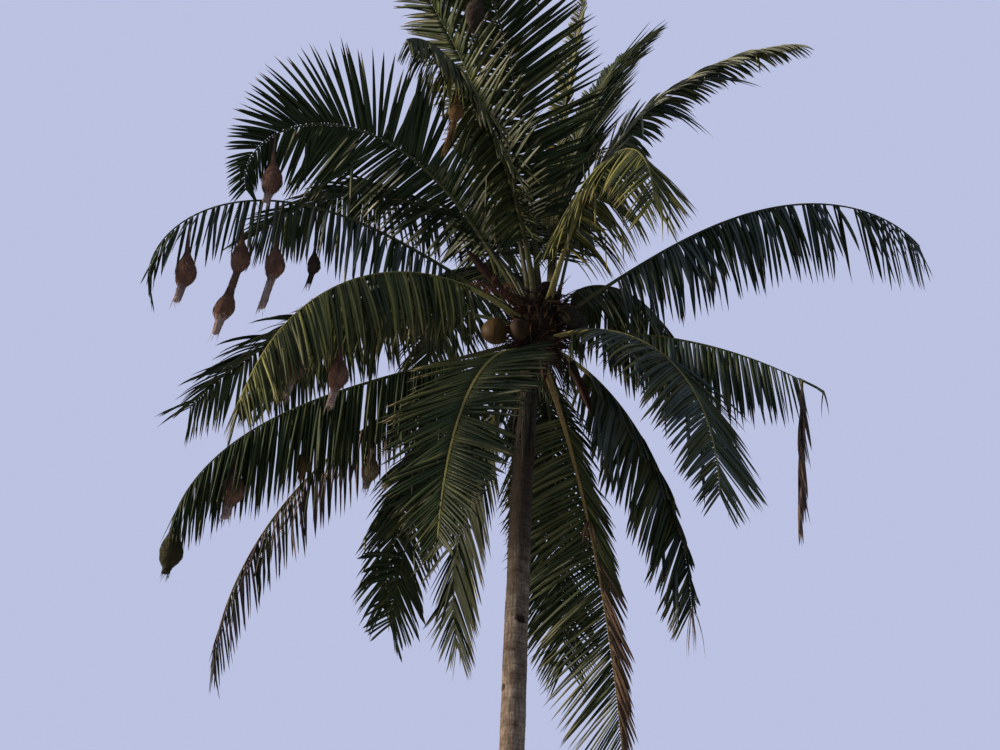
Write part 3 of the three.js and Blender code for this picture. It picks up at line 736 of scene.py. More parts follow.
@dataclass(frozen=True)
class Habit:
    """How a frond's leaflets are folded, withered or worn, as shares of the usual length and angle.

    The tail holds where it begins along the blade, then its shares of length, angle and droop. Gaps
    are stretches of the blade that have lost their leaflets. Toned names the row, by its hand, whose
    leaflets take the frond's last tone from a place along the blade on.
    """

    left: tuple[float, float] = (1.0, 1.0)
    right: tuple[float, float] = (1.0, 1.0)
    tail: tuple[float, float, float, float] = (0.6, 1.0, 1.0, 1.0)
    gaps: tuple[tuple[float, float], ...] = ()
    toned: tuple[float, float] = (0.0, 1.0)
    tail_span: float = 0.25

    def keeps(self, blade: Array) -> Array:
        """Returns which places along the blade still carry leaflets."""
        return np.all([np.ones(len(blade), bool)] + [(blade < a) | (blade > b) for a, b in self.gaps], axis=0)

    def shares(self, blade: Array, hand: Array) -> tuple[Array, Array, Array]:
        """Reads the habit at leaflets.

        Args:
            blade: their places along the blade.
            hand: 1 for the right-hand row, -1 for the left.

        Returns:
            The shares of length, of angle and of droop of each.
        """
        end = np.clip((blade - self.tail[0]) / self.tail_span, 0.0, 1.0)
        length, angle = (np.where(hand > 0, right, left) for left, right in zip(self.left, self.right))
        longer, wider, limper = (mix(1.0, share, end) for share in self.tail[1:])
        return length * longer, angle * wider, limper


@dataclass
class Frond(Grown):
    """One feather frond: a channelled rib and two rows of leaflets.

    Widths and depths are the rib's, at shares of its length. Fore angles and sizes are the leaflets',
    at places along the blade.
    """

    name: str
    azimuth: float
    launch: float
    tip: float
    bend: float
    length: float
    height: float
    droop: float
    scale: float
    tones: tuple[tuple[LeafTone, float], ...] = ((LeafTone.DEEP, 0.8), (LeafTone.OLIVE, 0.2))
    rib_tone: RibTone = RibTone.GREEN
    slot: str = "green_fronds"
    habit: Habit = Habit()
    parted: bool = False
    roll: float = 0.0
    broken: float = 0.05
    stalk_from: float = 0.0
    pitch: float = 0.034
    unruly: float = 1.0
    blunt: float = 0.0
    leaflet_width: float = 0.046
    leaflet_length: float = 1.020
    leaflet_thick: float = 0.0045
    bare: float = 0.17
    widths: tuple[tuple[float, float], ...] = ((0.0, 0.092), (0.04, 0.074), (0.17, 0.052), (0.5, 0.030),
                                               (1.0, 0.012))
    depths: tuple[tuple[float, float], ...] = ((0.0, 0.044), (0.04, 0.040), (0.17, 0.036), (0.5, 0.026),
                                               (1.0, 0.011))
    fore_angles: tuple[tuple[float, float], ...] = ((0.0, 78.0), (0.3, 69.0), (0.6, 59.0), (0.85, 47.0),
                                                    (1.0, 34.0))
    sizes: tuple[tuple[float, float], ...] = ((0.0, 0.5), (0.12, 0.85), (0.3, 1.0), (0.6, 0.96), (0.85, 0.74),
                                              (1.0, 0.5))
    steps: int = 120
    points: Array = field(init=False)
    elevations: Array = field(init=False)

    def __post_init__(self) -> None:
        """Lays out the rib from its seat on the crown heart."""
        start = seat_place(self.azimuth, self.height, self.launch, self.depths[0][1] / 2)
        self.points = arc(start, self.azimuth, self.launch, self.tip, self.length, self.steps, self.bend)
        self.elevations = mix(self.launch, self.tip, (np.arange(self.steps + 1) / self.steps) ** self.bend)

    def frames(self, shares: Array) -> tuple[Array, Array, Array, Array, Array]:
        """Reads the rib at shares of its length.

        Args:
            shares: the places to read.

        Returns:
            Place, tangent, side, upper normal and elevation in degrees at each.
        """
        x, at = shares * self.steps, np.arange(self.steps + 1)
        place = np.stack([np.interp(x, at, self.points[:, c]) for c in range(3)], axis=-1)
        elevation = np.interp(x, at, self.elevations)
        tangent = np.array([aim(self.azimuth, e) for e in elevation])
        a = math.radians(self.azimuth)
        flat = np.array([math.sin(a), -math.cos(a), 0.0])
        rolls = np.radians(self.roll) * np.minimum(1.0, shares * 2.5)
        side = np.array([turned(flat, t, r) for t, r in zip(tangent, rolls)])
        return place, tangent, side, np.cross(side, tangent), elevation

    def spot(self, share: float) -> list[Array]:
        """Returns the rib's place, tangent and side at one share of its length."""
        return [rows[0] for rows in self.frames(np.array([share]))[:3]]

    def rib(self) -> Mesh:
        """Models the channelled stalk and rib.

        Returns:
            The closed mesh.
        """
        stalk = np.array([0.0, 0.012, 0.025, 0.04, 0.07, 0.1, 0.135])
        shares = np.concatenate([stalk[stalk >= self.stalk_from], np.linspace(self.bare, 1.0, 44)])
        place, _, side, normal, _ = self.frames(shares)
        limb = Limb(12, len(shares) - 1, 0.75)
        return limb.along_path(place, side, normal, along(self.widths, shares) / 2, along(self.depths, shares) / 2)

    def leaflet_places(self) -> tuple[Array, Array]:
        """Spaces out both rows of leaflets.

        Returns:
            Each leaflet's share of the rib's length, and its hand.
        """
        count = int(self.length * (1.0 - self.bare) / self.pitch)
        rows = []
        for hand in (-1.0, 1.0):
            spaced = (np.arange(count) + 0.5 + self.rng.uniform(-0.25, 0.25, count)) / count
            shares = self.bare + (1.0 - self.bare) * spaced
            shares = shares[self.rng.random(count) > 0.02]
            shares = shares[self.habit.keeps((shares - self.bare) / (1.0 - self.bare))]
            rows.append(np.stack([np.clip(shares, self.bare, 0.999), np.full(len(shares), hand)], axis=1))
        return tuple(np.concatenate(rows).T)

    def leaflets(self) -> Mesh:
        """Grows both rows of leaflets by the rule of the solid model, finer.

        Returns:
            The joined mesh.
        """
        rng, rings = self.rng, BLADE.rings
        share, hand = self.leaflet_places()
        n = len(share)
        place, tangent, side, normal, elevation = self.frames(share)
        blade = (share - self.bare) / (1.0 - self.bare)
        longer, wider, limper = self.habit.shares(blade, hand)
        waves = [np.sin((share + hand * 7.0) * rng.uniform(12.0, 60.0) + rng.uniform(0.0, 2 * np.pi))
                 for _ in range(5)]
        clump = np.sum(waves, axis=0) / math.sqrt(2.5)
        fore = along(self.fore_angles, blade) * wider
        fore = np.radians(fore + self.unruly * (4.0 * clump + rng.normal(0.0, 2.5, n)))
        lift = mix(22.0, -26.0, self.droop) + self.unruly * (5.0 * clump + rng.normal(0.0, 5.0, n))
        lift = np.radians(lift)
        out = side * (hand * np.cos(lift))[:, None] + normal * np.sin(lift)[:, None]
        start = tangent * np.cos(fore)[:, None] + out * np.sin(fore)[:, None]
        droop = self.droop * limper * (0.35 + 0.65 * np.cos(np.radians(elevation))) * rng.uniform(0.88, 1.08, n)
        length = self.leaflet_length * self.scale * along(self.sizes, blade) * longer * rng.uniform(0.88, 1.0, n)
        limp = np.interp(self.droop, [0.7, 0.95], [0.35, 0.85])
        snapped = rng.random(n) < self.broken
        fold_at = rng.integers(2, 6, n)
        curve = np.zeros((n, rings + 1, 3))
        heading = np.zeros((n, rings + 1, 3))
        curve[:, 0] = place + side * (hand * along(self.widths, share) / 2 * 0.8)[:, None]
        for i in range(rings):
            pull = np.minimum(droop * mix(limp, 1.0, (i + 0.5) / rings), 0.985)
            pull = np.where(snapped & (i >= fold_at), 0.985, pull)
            heading[:, i] = unit(start * (1.0 - pull)[:, None] - UP * pull[:, None])
            curve[:, i + 1] = curve[:, i] + heading[:, i] * (length / rings)[:, None]
        heading[:, rings] = heading[:, rings - 1]
        plane = (tangent * np.sin(fore)[:, None] - out * np.cos(fore)[:, None])[:, None]
        flat = unit(plane - heading * np.sum(plane * heading, axis=2, keepdims=True))
        leaf = np.linspace(0.0, 1.0, rings + 1)
        twist = np.radians(rng.normal(12.0, 12.0, n))[:, None]
        twist = twist + np.radians(rng.normal(0.0, 30.0, n))[:, None] * leaf
        across = flat * np.cos(twist)[..., None] + np.cross(heading, flat) * np.sin(twist)[..., None]
        outward = np.cross(heading, across) * hand[:, None, None]
        widest = self.leaflet_width * np.interp(blade, [0.0, 0.15, 0.75, 1.0], [0.72, 1.0, 0.85, 0.5])
        ends = [mix(0.72, 1.0, self.blunt), mix(0.3, 0.95, self.blunt), 0.0]
        taper = np.interp(leaf, [0.0, 0.12, 0.4, 0.75, 0.93, 1.0], [0.8, 0.95, 1.0, *ends])
        width = (widest * rng.uniform(0.85, 1.1, n))[:, None] * taper
        thick = np.full((n, 1), self.leaflet_thick) * np.interp(leaf, [0.0, 1.0], [1.0, 0.5])
        shade = np.clip(rng.normal(0.45, 0.25, n) + 0.12 * np.sin(share * 23.0), 0.0, 1.0)
        weights = np.array([w for _, w in self.tones])
        slots = rng.choice(len(weights), n, p=weights / weights.sum())
        row, start_at = self.habit.toned
        slots = np.where((hand == row) & (blade > start_at + rng.normal(0.0, 0.08, n)), len(weights) - 1, slots)
        return BLADE.repeat(curve, across, outward, width, thick, 0.45, shade, slots)

    def build(self) -> None:
        """Makes the frond's rib and leaflets in place of its solids."""
        nodes = (self.name + "_inner", self.name + "_outer") if self.parted else (self.name,)
        finish_piece(self.name + "_rib", self.rib(), [self.rib_tone.value], self.slot, *nodes)
        tones = [tone.value for tone, _ in self.tones]
        finish_piece(self.name + "_leaflets", self.leaflets(), tones, self.slot, *nodes)


@dataclass
class CrownHeart(Grown):
    """The crown's core: sheaths of old leaf bases bound in brown fibre, with spent flower stalks."""

    fronds: list[Frond]
    lowest: float = -0.450
    highest: float = 0.540
    fibres: int = 900
    stalks: int = 560
    sheath_half_widths: tuple[float, ...] = (0.070, 0.088, 0.084, 0.070, 0.052, 0.040, 0.033)
    sheath_half_depths: tuple[float, ...] = (0.008, 0.014, 0.020, 0.025, 0.025, 0.023, 0.020)

    def core(self) -> Mesh:
        """Models the wrapped core, ridged by the overlapping sheaths.

        Returns:
            The closed mesh.
        """
        limb = Limb(72, 60)
        height = mix(self.lowest + 0.002, self.highest, limb.ring / limb.rings)
        turn = limb.turn
        lap = (turn * 8 / (2 * np.pi) + height * 5.0) % 1.0
        fibre = np.sin(turn * 36 + height * 60) * np.sin(turn * 27 - height * 75)
        radius = np.maximum(along(HEART_PROFILE, height) + (0.012 * (lap - 0.5) + 0.003 * fibre), 0.01)
        return limb.laid(heart_centre(height) + level(turn) * radius[:, None])

    def sheath(self, frond: Frond) -> Mesh:
        """Models the clasping base from which a frond's stalk rises.

        Args:
            frond: the frond that it carries.

        Returns:
            The closed mesh.
        """
        place, _, side, _, _ = frond.frames(np.array([0.0, 0.008, 0.020, 0.034]))
        heights = np.linspace(max(frond.height - 0.26, self.lowest + 0.01), frond.height - 0.05, 4)
        foot = heart_centre(heights) + np.outer(along(HEART_PROFILE, heights) - 0.004, aim(frond.azimuth, 0.0))
        path = np.concatenate([foot, place[1:]])
        path[3] = (path[3] + path[2] + path[4]) / 3
        sides = np.repeat(side[:1], len(path), axis=0)
        normals = np.cross(sides, unit(np.gradient(path, axis=0)))
        return Limb(16, len(path) - 1).along_path(path, sides, normals, np.array(self.sheath_half_widths),
                                                  np.array(self.sheath_half_depths))

    def fibre(self) -> Mesh:
        """Lays crossing fibres over the sheaths, with loose ends.

        Returns:
            The joined mesh.
        """
        rng, n, steps = self.rng, self.fibres, STRAW_STEPS
        height = rng.uniform(self.lowest + 0.02, 0.38, n)[:, None]
        height = height + rng.uniform(0.05, 0.2, n)[:, None] * (steps - 0.5)
        lean = rng.choice([-1.0, 1.0], n) * rng.uniform(0.15, 0.5, n)
        turn = rng.uniform(0.0, 2 * np.pi, n)[:, None] + lean[:, None] * steps * 1.4
        off = 0.014 + rng.uniform(0.0, 0.02, n)[:, None] + rng.uniform(0.0, 0.05, n)[:, None] * steps ** 3
        curve = heart_centre(height) + level(turn) * (along(HEART_PROFILE, height) + off)[..., None]
        return strands_along(curve, rng, 0.006)

    def spent_stalks(self) -> Mesh:
        """Lays the broken branches of spent flower stalks among the leaf bases.

        Returns:
            The joined mesh.
        """
        curves, rng = [], self.rng
        for _ in range(self.stalks):
            height = rng.uniform(-0.34, 0.34)
            azimuth = rng.uniform(0.0, 360.0)
            launch = rng.uniform(-25.0, 55.0)
            start = heart_centre(height) + aim(azimuth, 0.0) * along(HEART_PROFILE, height) * 0.97
            curves.append(arc(start, azimuth + rng.normal(0.0, 18.0), launch, launch - rng.uniform(20.0, 110.0),
                              rng.uniform(0.10, 0.42), BLADE.rings))
        return strands_along(np.array(curves), rng, 0.020, 3)

    def build(self) -> None:
        """Makes the core, its sheaths, its fibre and the spent stalks."""
        finish_piece("heart_core", self.core(), [FIBRE], "leaf_bases", "crown_heart")
        sheaths = joined([self.sheath(frond) for frond in self.fronds if frond.name != "frond_spear"])
        finish_piece("leaf_sheaths", sheaths, [SHEATH], "leaf_bases")
        finish_piece("sheath_fibre", self.fibre(), [STRAND], "leaf_bases")
        finish_piece("spent_stalks", self.spent_stalks(), [STALK, OLD_STALK, OLD_STALK], "dry_stalks")


@dataclass
class NutBunch(Grown):
    """A short stalk with husked nuts crowded round it, each at a share of the stalk and an angle."""

    name: str
    azimuth: float
    elevation: float
    length: float
    height: float
    size: float
    husk: Finish
    nuts: tuple[tuple[float, float], ...]

    def path(self, steps: int) -> Array:
        """Returns the stalk's centre line."""
        start = seat_place(self.azimuth, self.height, self.elevation, 0.024)
        return arc(start, self.azimuth, self.elevation, self.elevation - 40.0, self.length, steps)

    def hung(self, bm: bmesh.types.BMesh, centre: Array, root: Array, lift: float, shape: Matrix) -> Mesh:
        """Sizes a ball and turns its upper end towards its stalk.

        Args:
            bm: the ball, at unit size.
            centre: the nut's middle.
            root: where its stalk is.
            lift: how far up the nut the ball sits, as a share of the nut's radius.
            shape: the ball's size and spin.

        Returns:
            The closed mesh.
        """
        hang = Vector(unit(unit(root - centre) + UP * 1.4))
        turn_to = Vector((0.0, 0.0, 1.0)).rotation_difference(hang).to_matrix().to_4x4()
        place = Matrix.Translation(Vector(centre) + hang * self.size * lift)
        bmesh.ops.transform(bm, matrix=place @ turn_to @ shape, verts=bm.verts[:])
        return closed(bm)

    def nut(self, centre: Array, root: Array, spin: float) -> Mesh:
        """Models one husked nut, blunt-ridged in three and drawn to a point.

        Args:
            centre: the nut's middle.
            root: where its stalk is.
            spin: its turn about its own axis.

        Returns:
            The closed mesh.
        """
        bm = bmesh.new()
        bmesh.ops.create_uvsphere(bm, u_segments=36, v_segments=24, radius=1.0)
        for v in bm.verts:
            ridge = 1.0 + 0.045 * math.cos(3 * math.atan2(v.co.y, v.co.x)) * (1.0 - v.co.z ** 2)
            v.co.x *= ridge
            v.co.y *= ridge
            v.co.z -= 0.10 * max(0.0, -v.co.z) ** 6
        shape = Matrix.Diagonal((self.size * 0.97, self.size * 0.97, self.size * 1.08, 1.0))
        return self.hung(bm, centre, root, 0.0, Matrix.Rotation(spin, 4, "Z") @ shape)

    def calyx(self, centre: Array, root: Array) -> Mesh:
        """Models the ring of dry bracts on a nut's stalk end.

        Args:
            centre: the nut's middle.
            root: where its stalk is.

        Returns:
            The closed mesh.
        """
        bm = bmesh.new()
        bmesh.ops.create_uvsphere(bm, u_segments=24, v_segments=12, radius=1.0)
        for v in bm.verts:
            petal = 1.0 + 0.16 * abs(math.cos(1.5 * math.atan2(v.co.y, v.co.x)))
            v.co.x *= petal
            v.co.y *= petal
        shape = Matrix.Diagonal((self.size * 0.42, self.size * 0.42, self.size * 0.2, 1.0))
        return self.hung(bm, centre, root, 0.97, shape)

    def build(self) -> None:
        """Makes the stalk, the nuts and their calyxes."""
        coarse = self.path(5)
        across = aim(self.azimuth - 90.0, 0.0)
        nuts, dry = [], []
        for share, turn in self.nuts:
            root = coarse[int(share * 5 + 0.5)]
            t = math.radians(turn)
            centre = root + (across * math.cos(t) - UP * math.sin(t)) * self.size * 0.95
            nuts.append(self.nut(centre, root, self.rng.uniform(0.0, 2.0)))
            dry.append(self.calyx(centre, root))
        path = self.path(16)
        half = np.linspace(0.024, 0.016, 17) * (1.0 + 0.08 * np.sin(np.arange(17) * 1.9))
        dry.append(Limb(12, 16).along_path(path, *carried_frames(path), half, half))
        finish_piece(self.name + "_nuts", joined(nuts), [self.husk], "nuts", self.name)
        finish_piece(self.name + "_stalk", joined(dry), [STALK], "nuts", self.name)


@dataclass
class Spathe(Grown):
    """A woody, boat-shaped sheath that once held a flower stalk."""

    name: str
    azimuth: float
    launch: float
    tip: float
    length: float
    radius: float
    height: float
    rings: int = 27

    def build(self) -> None:
        """Models the ribbed boat with its open slit."""
        start = seat_place(self.azimuth, self.height, self.launch, self.radius * 0.3)
        path = arc(start, self.azimuth, self.launch, self.tip, self.length, self.rings)
        sides, normals = carried_frames(path)
        limb = Limb(40, self.rings)
        share = limb.ring / self.rings
        half = self.radius * np.interp(share, [0.0, 0.3, 0.6, 0.8, 0.95, 1.0], [0.3, 0.45, 1.0, 0.8, 0.3, 0.06])
        ridge = 1.0 + 0.05 * np.cos(limb.turn * 13)
        slit = 1.0 - 0.5 * np.exp(-((limb.turn - np.pi / 2) / 0.22) ** 2) * np.clip(share * 3 - 0.6, 0.0, 1.0)
        points = path[limb.ring] + sides[limb.ring] * (limb.a * half * ridge)[:, None]
        points = points + normals[limb.ring] * (limb.b * half * ridge * slit * 0.55)[:, None]
        finish_piece(self.name + "_boat", limb.laid(points), [WOODY], "spathes", self.name)


@dataclass
class FlowerStalk(Grown):
    """A dry flower stalk: a stem with sprays of thin knobbly branches."""

    name: str
    azimuth: float
    elevation: float
    length: float
    height: float
    strands_per_spray: int = 6

    def build(self) -> None:
        """Models the stem and its sprays."""
        rng = self.rng
        start = seat_place(self.azimuth, self.height, self.elevation, 0.020)
        coarse, path = (arc(start, self.azimuth, self.elevation, self.elevation - 30.0, self.length, steps)
                        for steps in (6, 18))
        half = np.linspace(0.020, 0.008, 19)
        stem = Limb(12, 18).along_path(path, *carried_frames(path), half, half * 0.8)
        curves = []
        for k in range(7):
            root = coarse[2 + k // 2]
            turn = (1 if k % 2 else -1) * (30 + 6 * k)
            for _ in range(self.strands_per_spray):
                azimuth = self.azimuth + turn + rng.normal(0.0, 11.0)
                launch = self.elevation + 12 - 6 * k + rng.normal(0.0, 9.0)
                droop = self.elevation - 50 + rng.normal(0.0, 12.0)
                curves.append(arc(root, azimuth, launch, droop, rng.uniform(0.17, 0.27), BLADE.rings))
        sprays = strands_along(np.array(curves), rng, 0.010)
        finish_piece(self.name + "_stem", stem, [STALK], "dry_stalks", self.name)
        finish_piece(self.name + "_sprays", sprays, [STALK], "dry_stalks", self.name)


@dataclass
class Tatter(Grown):
    """Torn, dead or stray leaflets at one place on a rib.

    Reach is the length of a bare twig before them. Bearings and launches are the ranges of their
    directions, and settle is the elevation at their tips.
    """

    name: str
    frond: Frond
    share: float
    length: float
    strands: int
    tone: LeafTone
    width: float = 0.014
    reach: float = 0.0
    bearings: tuple[float, float] = (0.0, 360.0)
    launches: tuple[float, float] = (-80.0, -55.0)
    settle: float = -90.0

    def build(self) -> None:
        """Lays the strands, each out along its twig and then down."""
        rng, rings = self.rng, BLADE.rings
        place, tangent, side = self.frond.spot(self.share)
        out = np.linspace(0.0, 1.0, rings + 1)
        fall = np.interp(out, [0.4, 1.0], [0.0, 1.0]) if self.reach else out
        curves = []
        for _ in range(self.strands):
            root = place + side * rng.normal(0.0, 0.012)
            hang = arc(root + tangent * self.reach, rng.uniform(*self.bearings), rng.uniform(*self.launches),
                       self.settle, self.length * rng.uniform(0.45, 1.0), rings)
            twig = root + np.outer(np.minimum(out * 2.5, 1.0), tangent * self.reach)
            index = np.arange(rings + 1) / rings
            drop = np.stack([np.interp(fall, index, hang[:, c] - hang[0, c]) for c in range(3)], axis=-1)
            curves.append(twig + drop)
        mesh = strands_along(np.array(curves), rng, self.width)
        finish_piece(self.name, mesh, [self.tone.value], "green_fronds")


# Depth below the neck and radius of a nest's chambers, as shares of the chamber's radius.
CHAMBER = [(0.0, 0.11), (1.0, 0.22), (1.6, 0.42), (2.1, 0.68), (2.6, 0.91), (3.2, 1.03), (3.8, 0.98),
           (4.25, 0.78), (4.55, 0.52), (4.75, 0.38)]
LOWER_CHAMBER = [(2.0, 0.38), (2.6, 0.50), (3.1, 0.76), (3.6, 0.96), (4.1, 1.03), (4.6, 0.92), (5.0, 0.66),
                 (5.25, 0.42)]
CHAMBER_LENGTH = 4.9
LOWER_LENGTH = 5.2


@dataclass
class Nest(Grown):
    """A woven grass nest: a cord round a rib, one or two round chambers and an entrance tube."""

    name: str
    frond: Frond
    share: float
    drop: float
    radius: float
    tube: float
    tone: StrawTone = StrawTone.BROWN
    second: float = 0.0
    straws: int = 260
    rounding: float = 0.14
    lean: float = 0.25
    aside: float = 0.3

    @property
    def neck(self) -> float:
        """The depth at which the first chamber ends."""
        return self.drop + CHAMBER_LENGTH * self.radius

    def profile(self) -> Array:
        """Gives the nest's outline.

        Returns:
            Rows of depths below the rib, and radii there.
        """
        rows = [(0.0, 0.007), (self.drop * 0.7, 0.009)]
        rows += [(self.drop + depth * self.radius, size * self.radius) for depth, size in CHAMBER]
        if self.second:
            rows += [(self.neck + depth * self.second, size * self.second) for depth, size in LOWER_CHAMBER]
        rows.append((self.neck + LOWER_LENGTH * self.second + self.tube, self.radius * 0.36))
        return np.array(rows).T

    def radius_at(self, depth: Array) -> Array:
        """Returns the wall's plain radius at depths below the rib, with its corners rounded off."""
        shifts = np.linspace(-1.0, 1.0, 7) * (self.radius * self.rounding)
        return np.mean([np.interp(depth + shift, *self.profile()) for shift in shifts], axis=0)

    def place(self, depth: Array) -> Array:
        """Returns the nest's middle at depths below the rib."""
        lean = np.maximum(0.0, depth - self.neck) * self.lean
        aside = np.interp(depth, [self.neck - 1.2 * self.radius, self.neck], [0.0, self.aside * self.radius])
        return self.frond.spot(self.share)[0] - np.stack([lean + aside, 0 * depth, depth], axis=-1)

    def weave(self) -> Mesh:
        """Models the lumpy woven wall.

        Returns:
            The closed mesh.
        """
        limb = Limb(32, 96)
        turn, depth = limb.turn, self.profile()[0][-1] * limb.ring / limb.rings
        start = self.rng.uniform(0.0, 6.0)
        lump = np.sin(turn + depth * 13 + start) + np.sin(turn * 2 - depth * 19 + start * 2)
        strand = np.sin(turn * 9 + depth * 130) * np.sin(turn * 7 - depth * 110)
        radius = self.radius_at(depth) * (0.98 + 0.020 * lump + 0.012 * strand)
        radius = np.where(limb.ends, radius * 0.6, radius)
        return limb.laid(self.place(depth) + level(turn) * radius[:, None])

    def loose_straw(self) -> Mesh:
        """Lays grass blades round the wall, their ends standing off it and hanging.

        Returns:
            The joined mesh.
        """
        rng, n, steps, bottom = self.rng, self.straws, STRAW_STEPS, self.profile()[0][-1]
        depth = rng.uniform(self.drop * 0.8, bottom - 0.02, n)[:, None]
        depth = depth + rng.uniform(0.02, 0.14, n)[:, None] * steps
        turn = rng.uniform(0.0, 2 * np.pi, n)[:, None] + rng.normal(0.0, 0.9, n)[:, None] * steps
        stand = rng.gamma(1.3, 0.003, n)[:, None] * steps ** 2
        radius = self.radius_at(np.minimum(depth, bottom)) * 1.01 + 0.001 + stand
        return strands_along(self.place(depth) + level(turn) * radius[..., None], rng, 0.006)

    def tube_marked(self, mesh: Mesh) -> Mesh:
        """Gives the entrance tube's faces the second finish, from a ragged edge down.

        Args:
            mesh: the wall or the straw.

        Returns:
            The same mesh.
        """
        starts = self.neck + LOWER_LENGTH * self.second
        centres = np.zeros(len(mesh.polygons) * 3, dtype=np.float32)
        mesh.polygons.foreach_get("center", centres)
        x, y, z = centres.reshape(-1, 3).T
        ragged = 0.035 * np.sin(x * 431 + y * 617 + z * 240)
        tube = self.frond.spot(self.share)[0][2] - z > starts + ragged
        mesh.polygons.foreach_set("material_index", tube.astype(np.int32))
        return mesh

    def build(self) -> None:
        """Makes the woven wall and its loose straw, with a paler tube on the brown and tan nests."""
        pale = self.tone in (StrawTone.BROWN, StrawTone.TAN)
        ends = StrawTone.TUBE if pale else self.tone
        parts = (("_weave", self.weave), ("_straw", self.loose_straw))
        for (part, model), finish, end in zip(parts, self.tone.value, ends.value):
            finish_piece(self.name + part, self.tube_marked(model()), [finish, end], "woven_nests", self.name)


@dataclass
class Studio:
    """The pale floor, the soft light and the camera."""

    eye: Colour = (0.0, -18.4, 1.6)
    aim_at: Colour = (0.0, 0.2, 11.2)
    lens: float = 75.24
    backdrop: Colour = (0.500, 0.540, 0.755)
    fill: Colour = (0.262, 0.285, 0.345)
    key_colour: Colour = (1.0, 0.82, 0.62)
    key_strength: float = 6.3
    key_azimuth: float = 182.0
    key_elevation: float = 19.0
    key_softness: float = 12.0
    floor_radius: float = 13.0

    def camera(self) -> None:
        """Sets the camera at the photograph's viewing angle."""
        data = bpy.data.cameras.new("camera")
        data.lens = self.lens
        data.clip_end = 200.0
        camera = bpy.data.objects.new("camera", data)
        camera.location = self.eye
        look = Vector(self.aim_at) - Vector(self.eye)
        camera.rotation_euler = look.to_track_quat("-Z", "Y").to_euler()
        bpy.context.collection.objects.link(camera)
        bpy.context.scene.camera = camera

    def floor(self) -> None:
        """Lays the plain pale floor."""
        bm = bmesh.new()
        bmesh.ops.create_circle(bm, cap_ends=True, radius=self.floor_radius, segments=96)
        mesh = mesh_of(bm)
        mesh.name = "floor"
        material = bpy.data.materials.new("pale_floor")
        material.use_nodes = True
        shader = material.node_tree.nodes["Principled BSDF"]
        shader.inputs["Base Color"].default_value = (0.62, 0.62, 0.64, 1.0)
        shader.inputs["Roughness"].default_value = 0.9
        mesh.materials.append(material)
        floor = bpy.data.objects.new("floor", mesh)
        floor.location = (0.0, 0.0, -0.002)
        bpy.context.collection.objects.link(floor)

    def light(self) -> None:
        """Sets the even pale surroundings and one soft warm key light."""
        world = bpy.data.worlds.new("studio")
        world.use_nodes = True
        bench = NodeBench(world.node_tree)
        seen = bench.node("LightPath").outputs["Is Camera Ray"]
        sky = bench.blend(seen, self.fill, self.backdrop)
        bench.feed(world.node_tree.nodes["Background"], {"Strength": 1.0, "Color": sky})
        bpy.context.scene.world = world
        bpy.context.scene.view_settings.view_transform = "Standard"
        data = bpy.data.lights.new("key", "SUN")
        data.energy = self.key_strength
        data.angle = math.radians(self.key_softness)
        data.color = self.key_colour
        key = bpy.data.objects.new("key", data)
        key.rotation_euler = Vector(-aim(self.key_azimuth, self.key_elevation)).to_track_quat("-Z", "Y").to_euler()
        bpy.context.collection.objects.link(key)


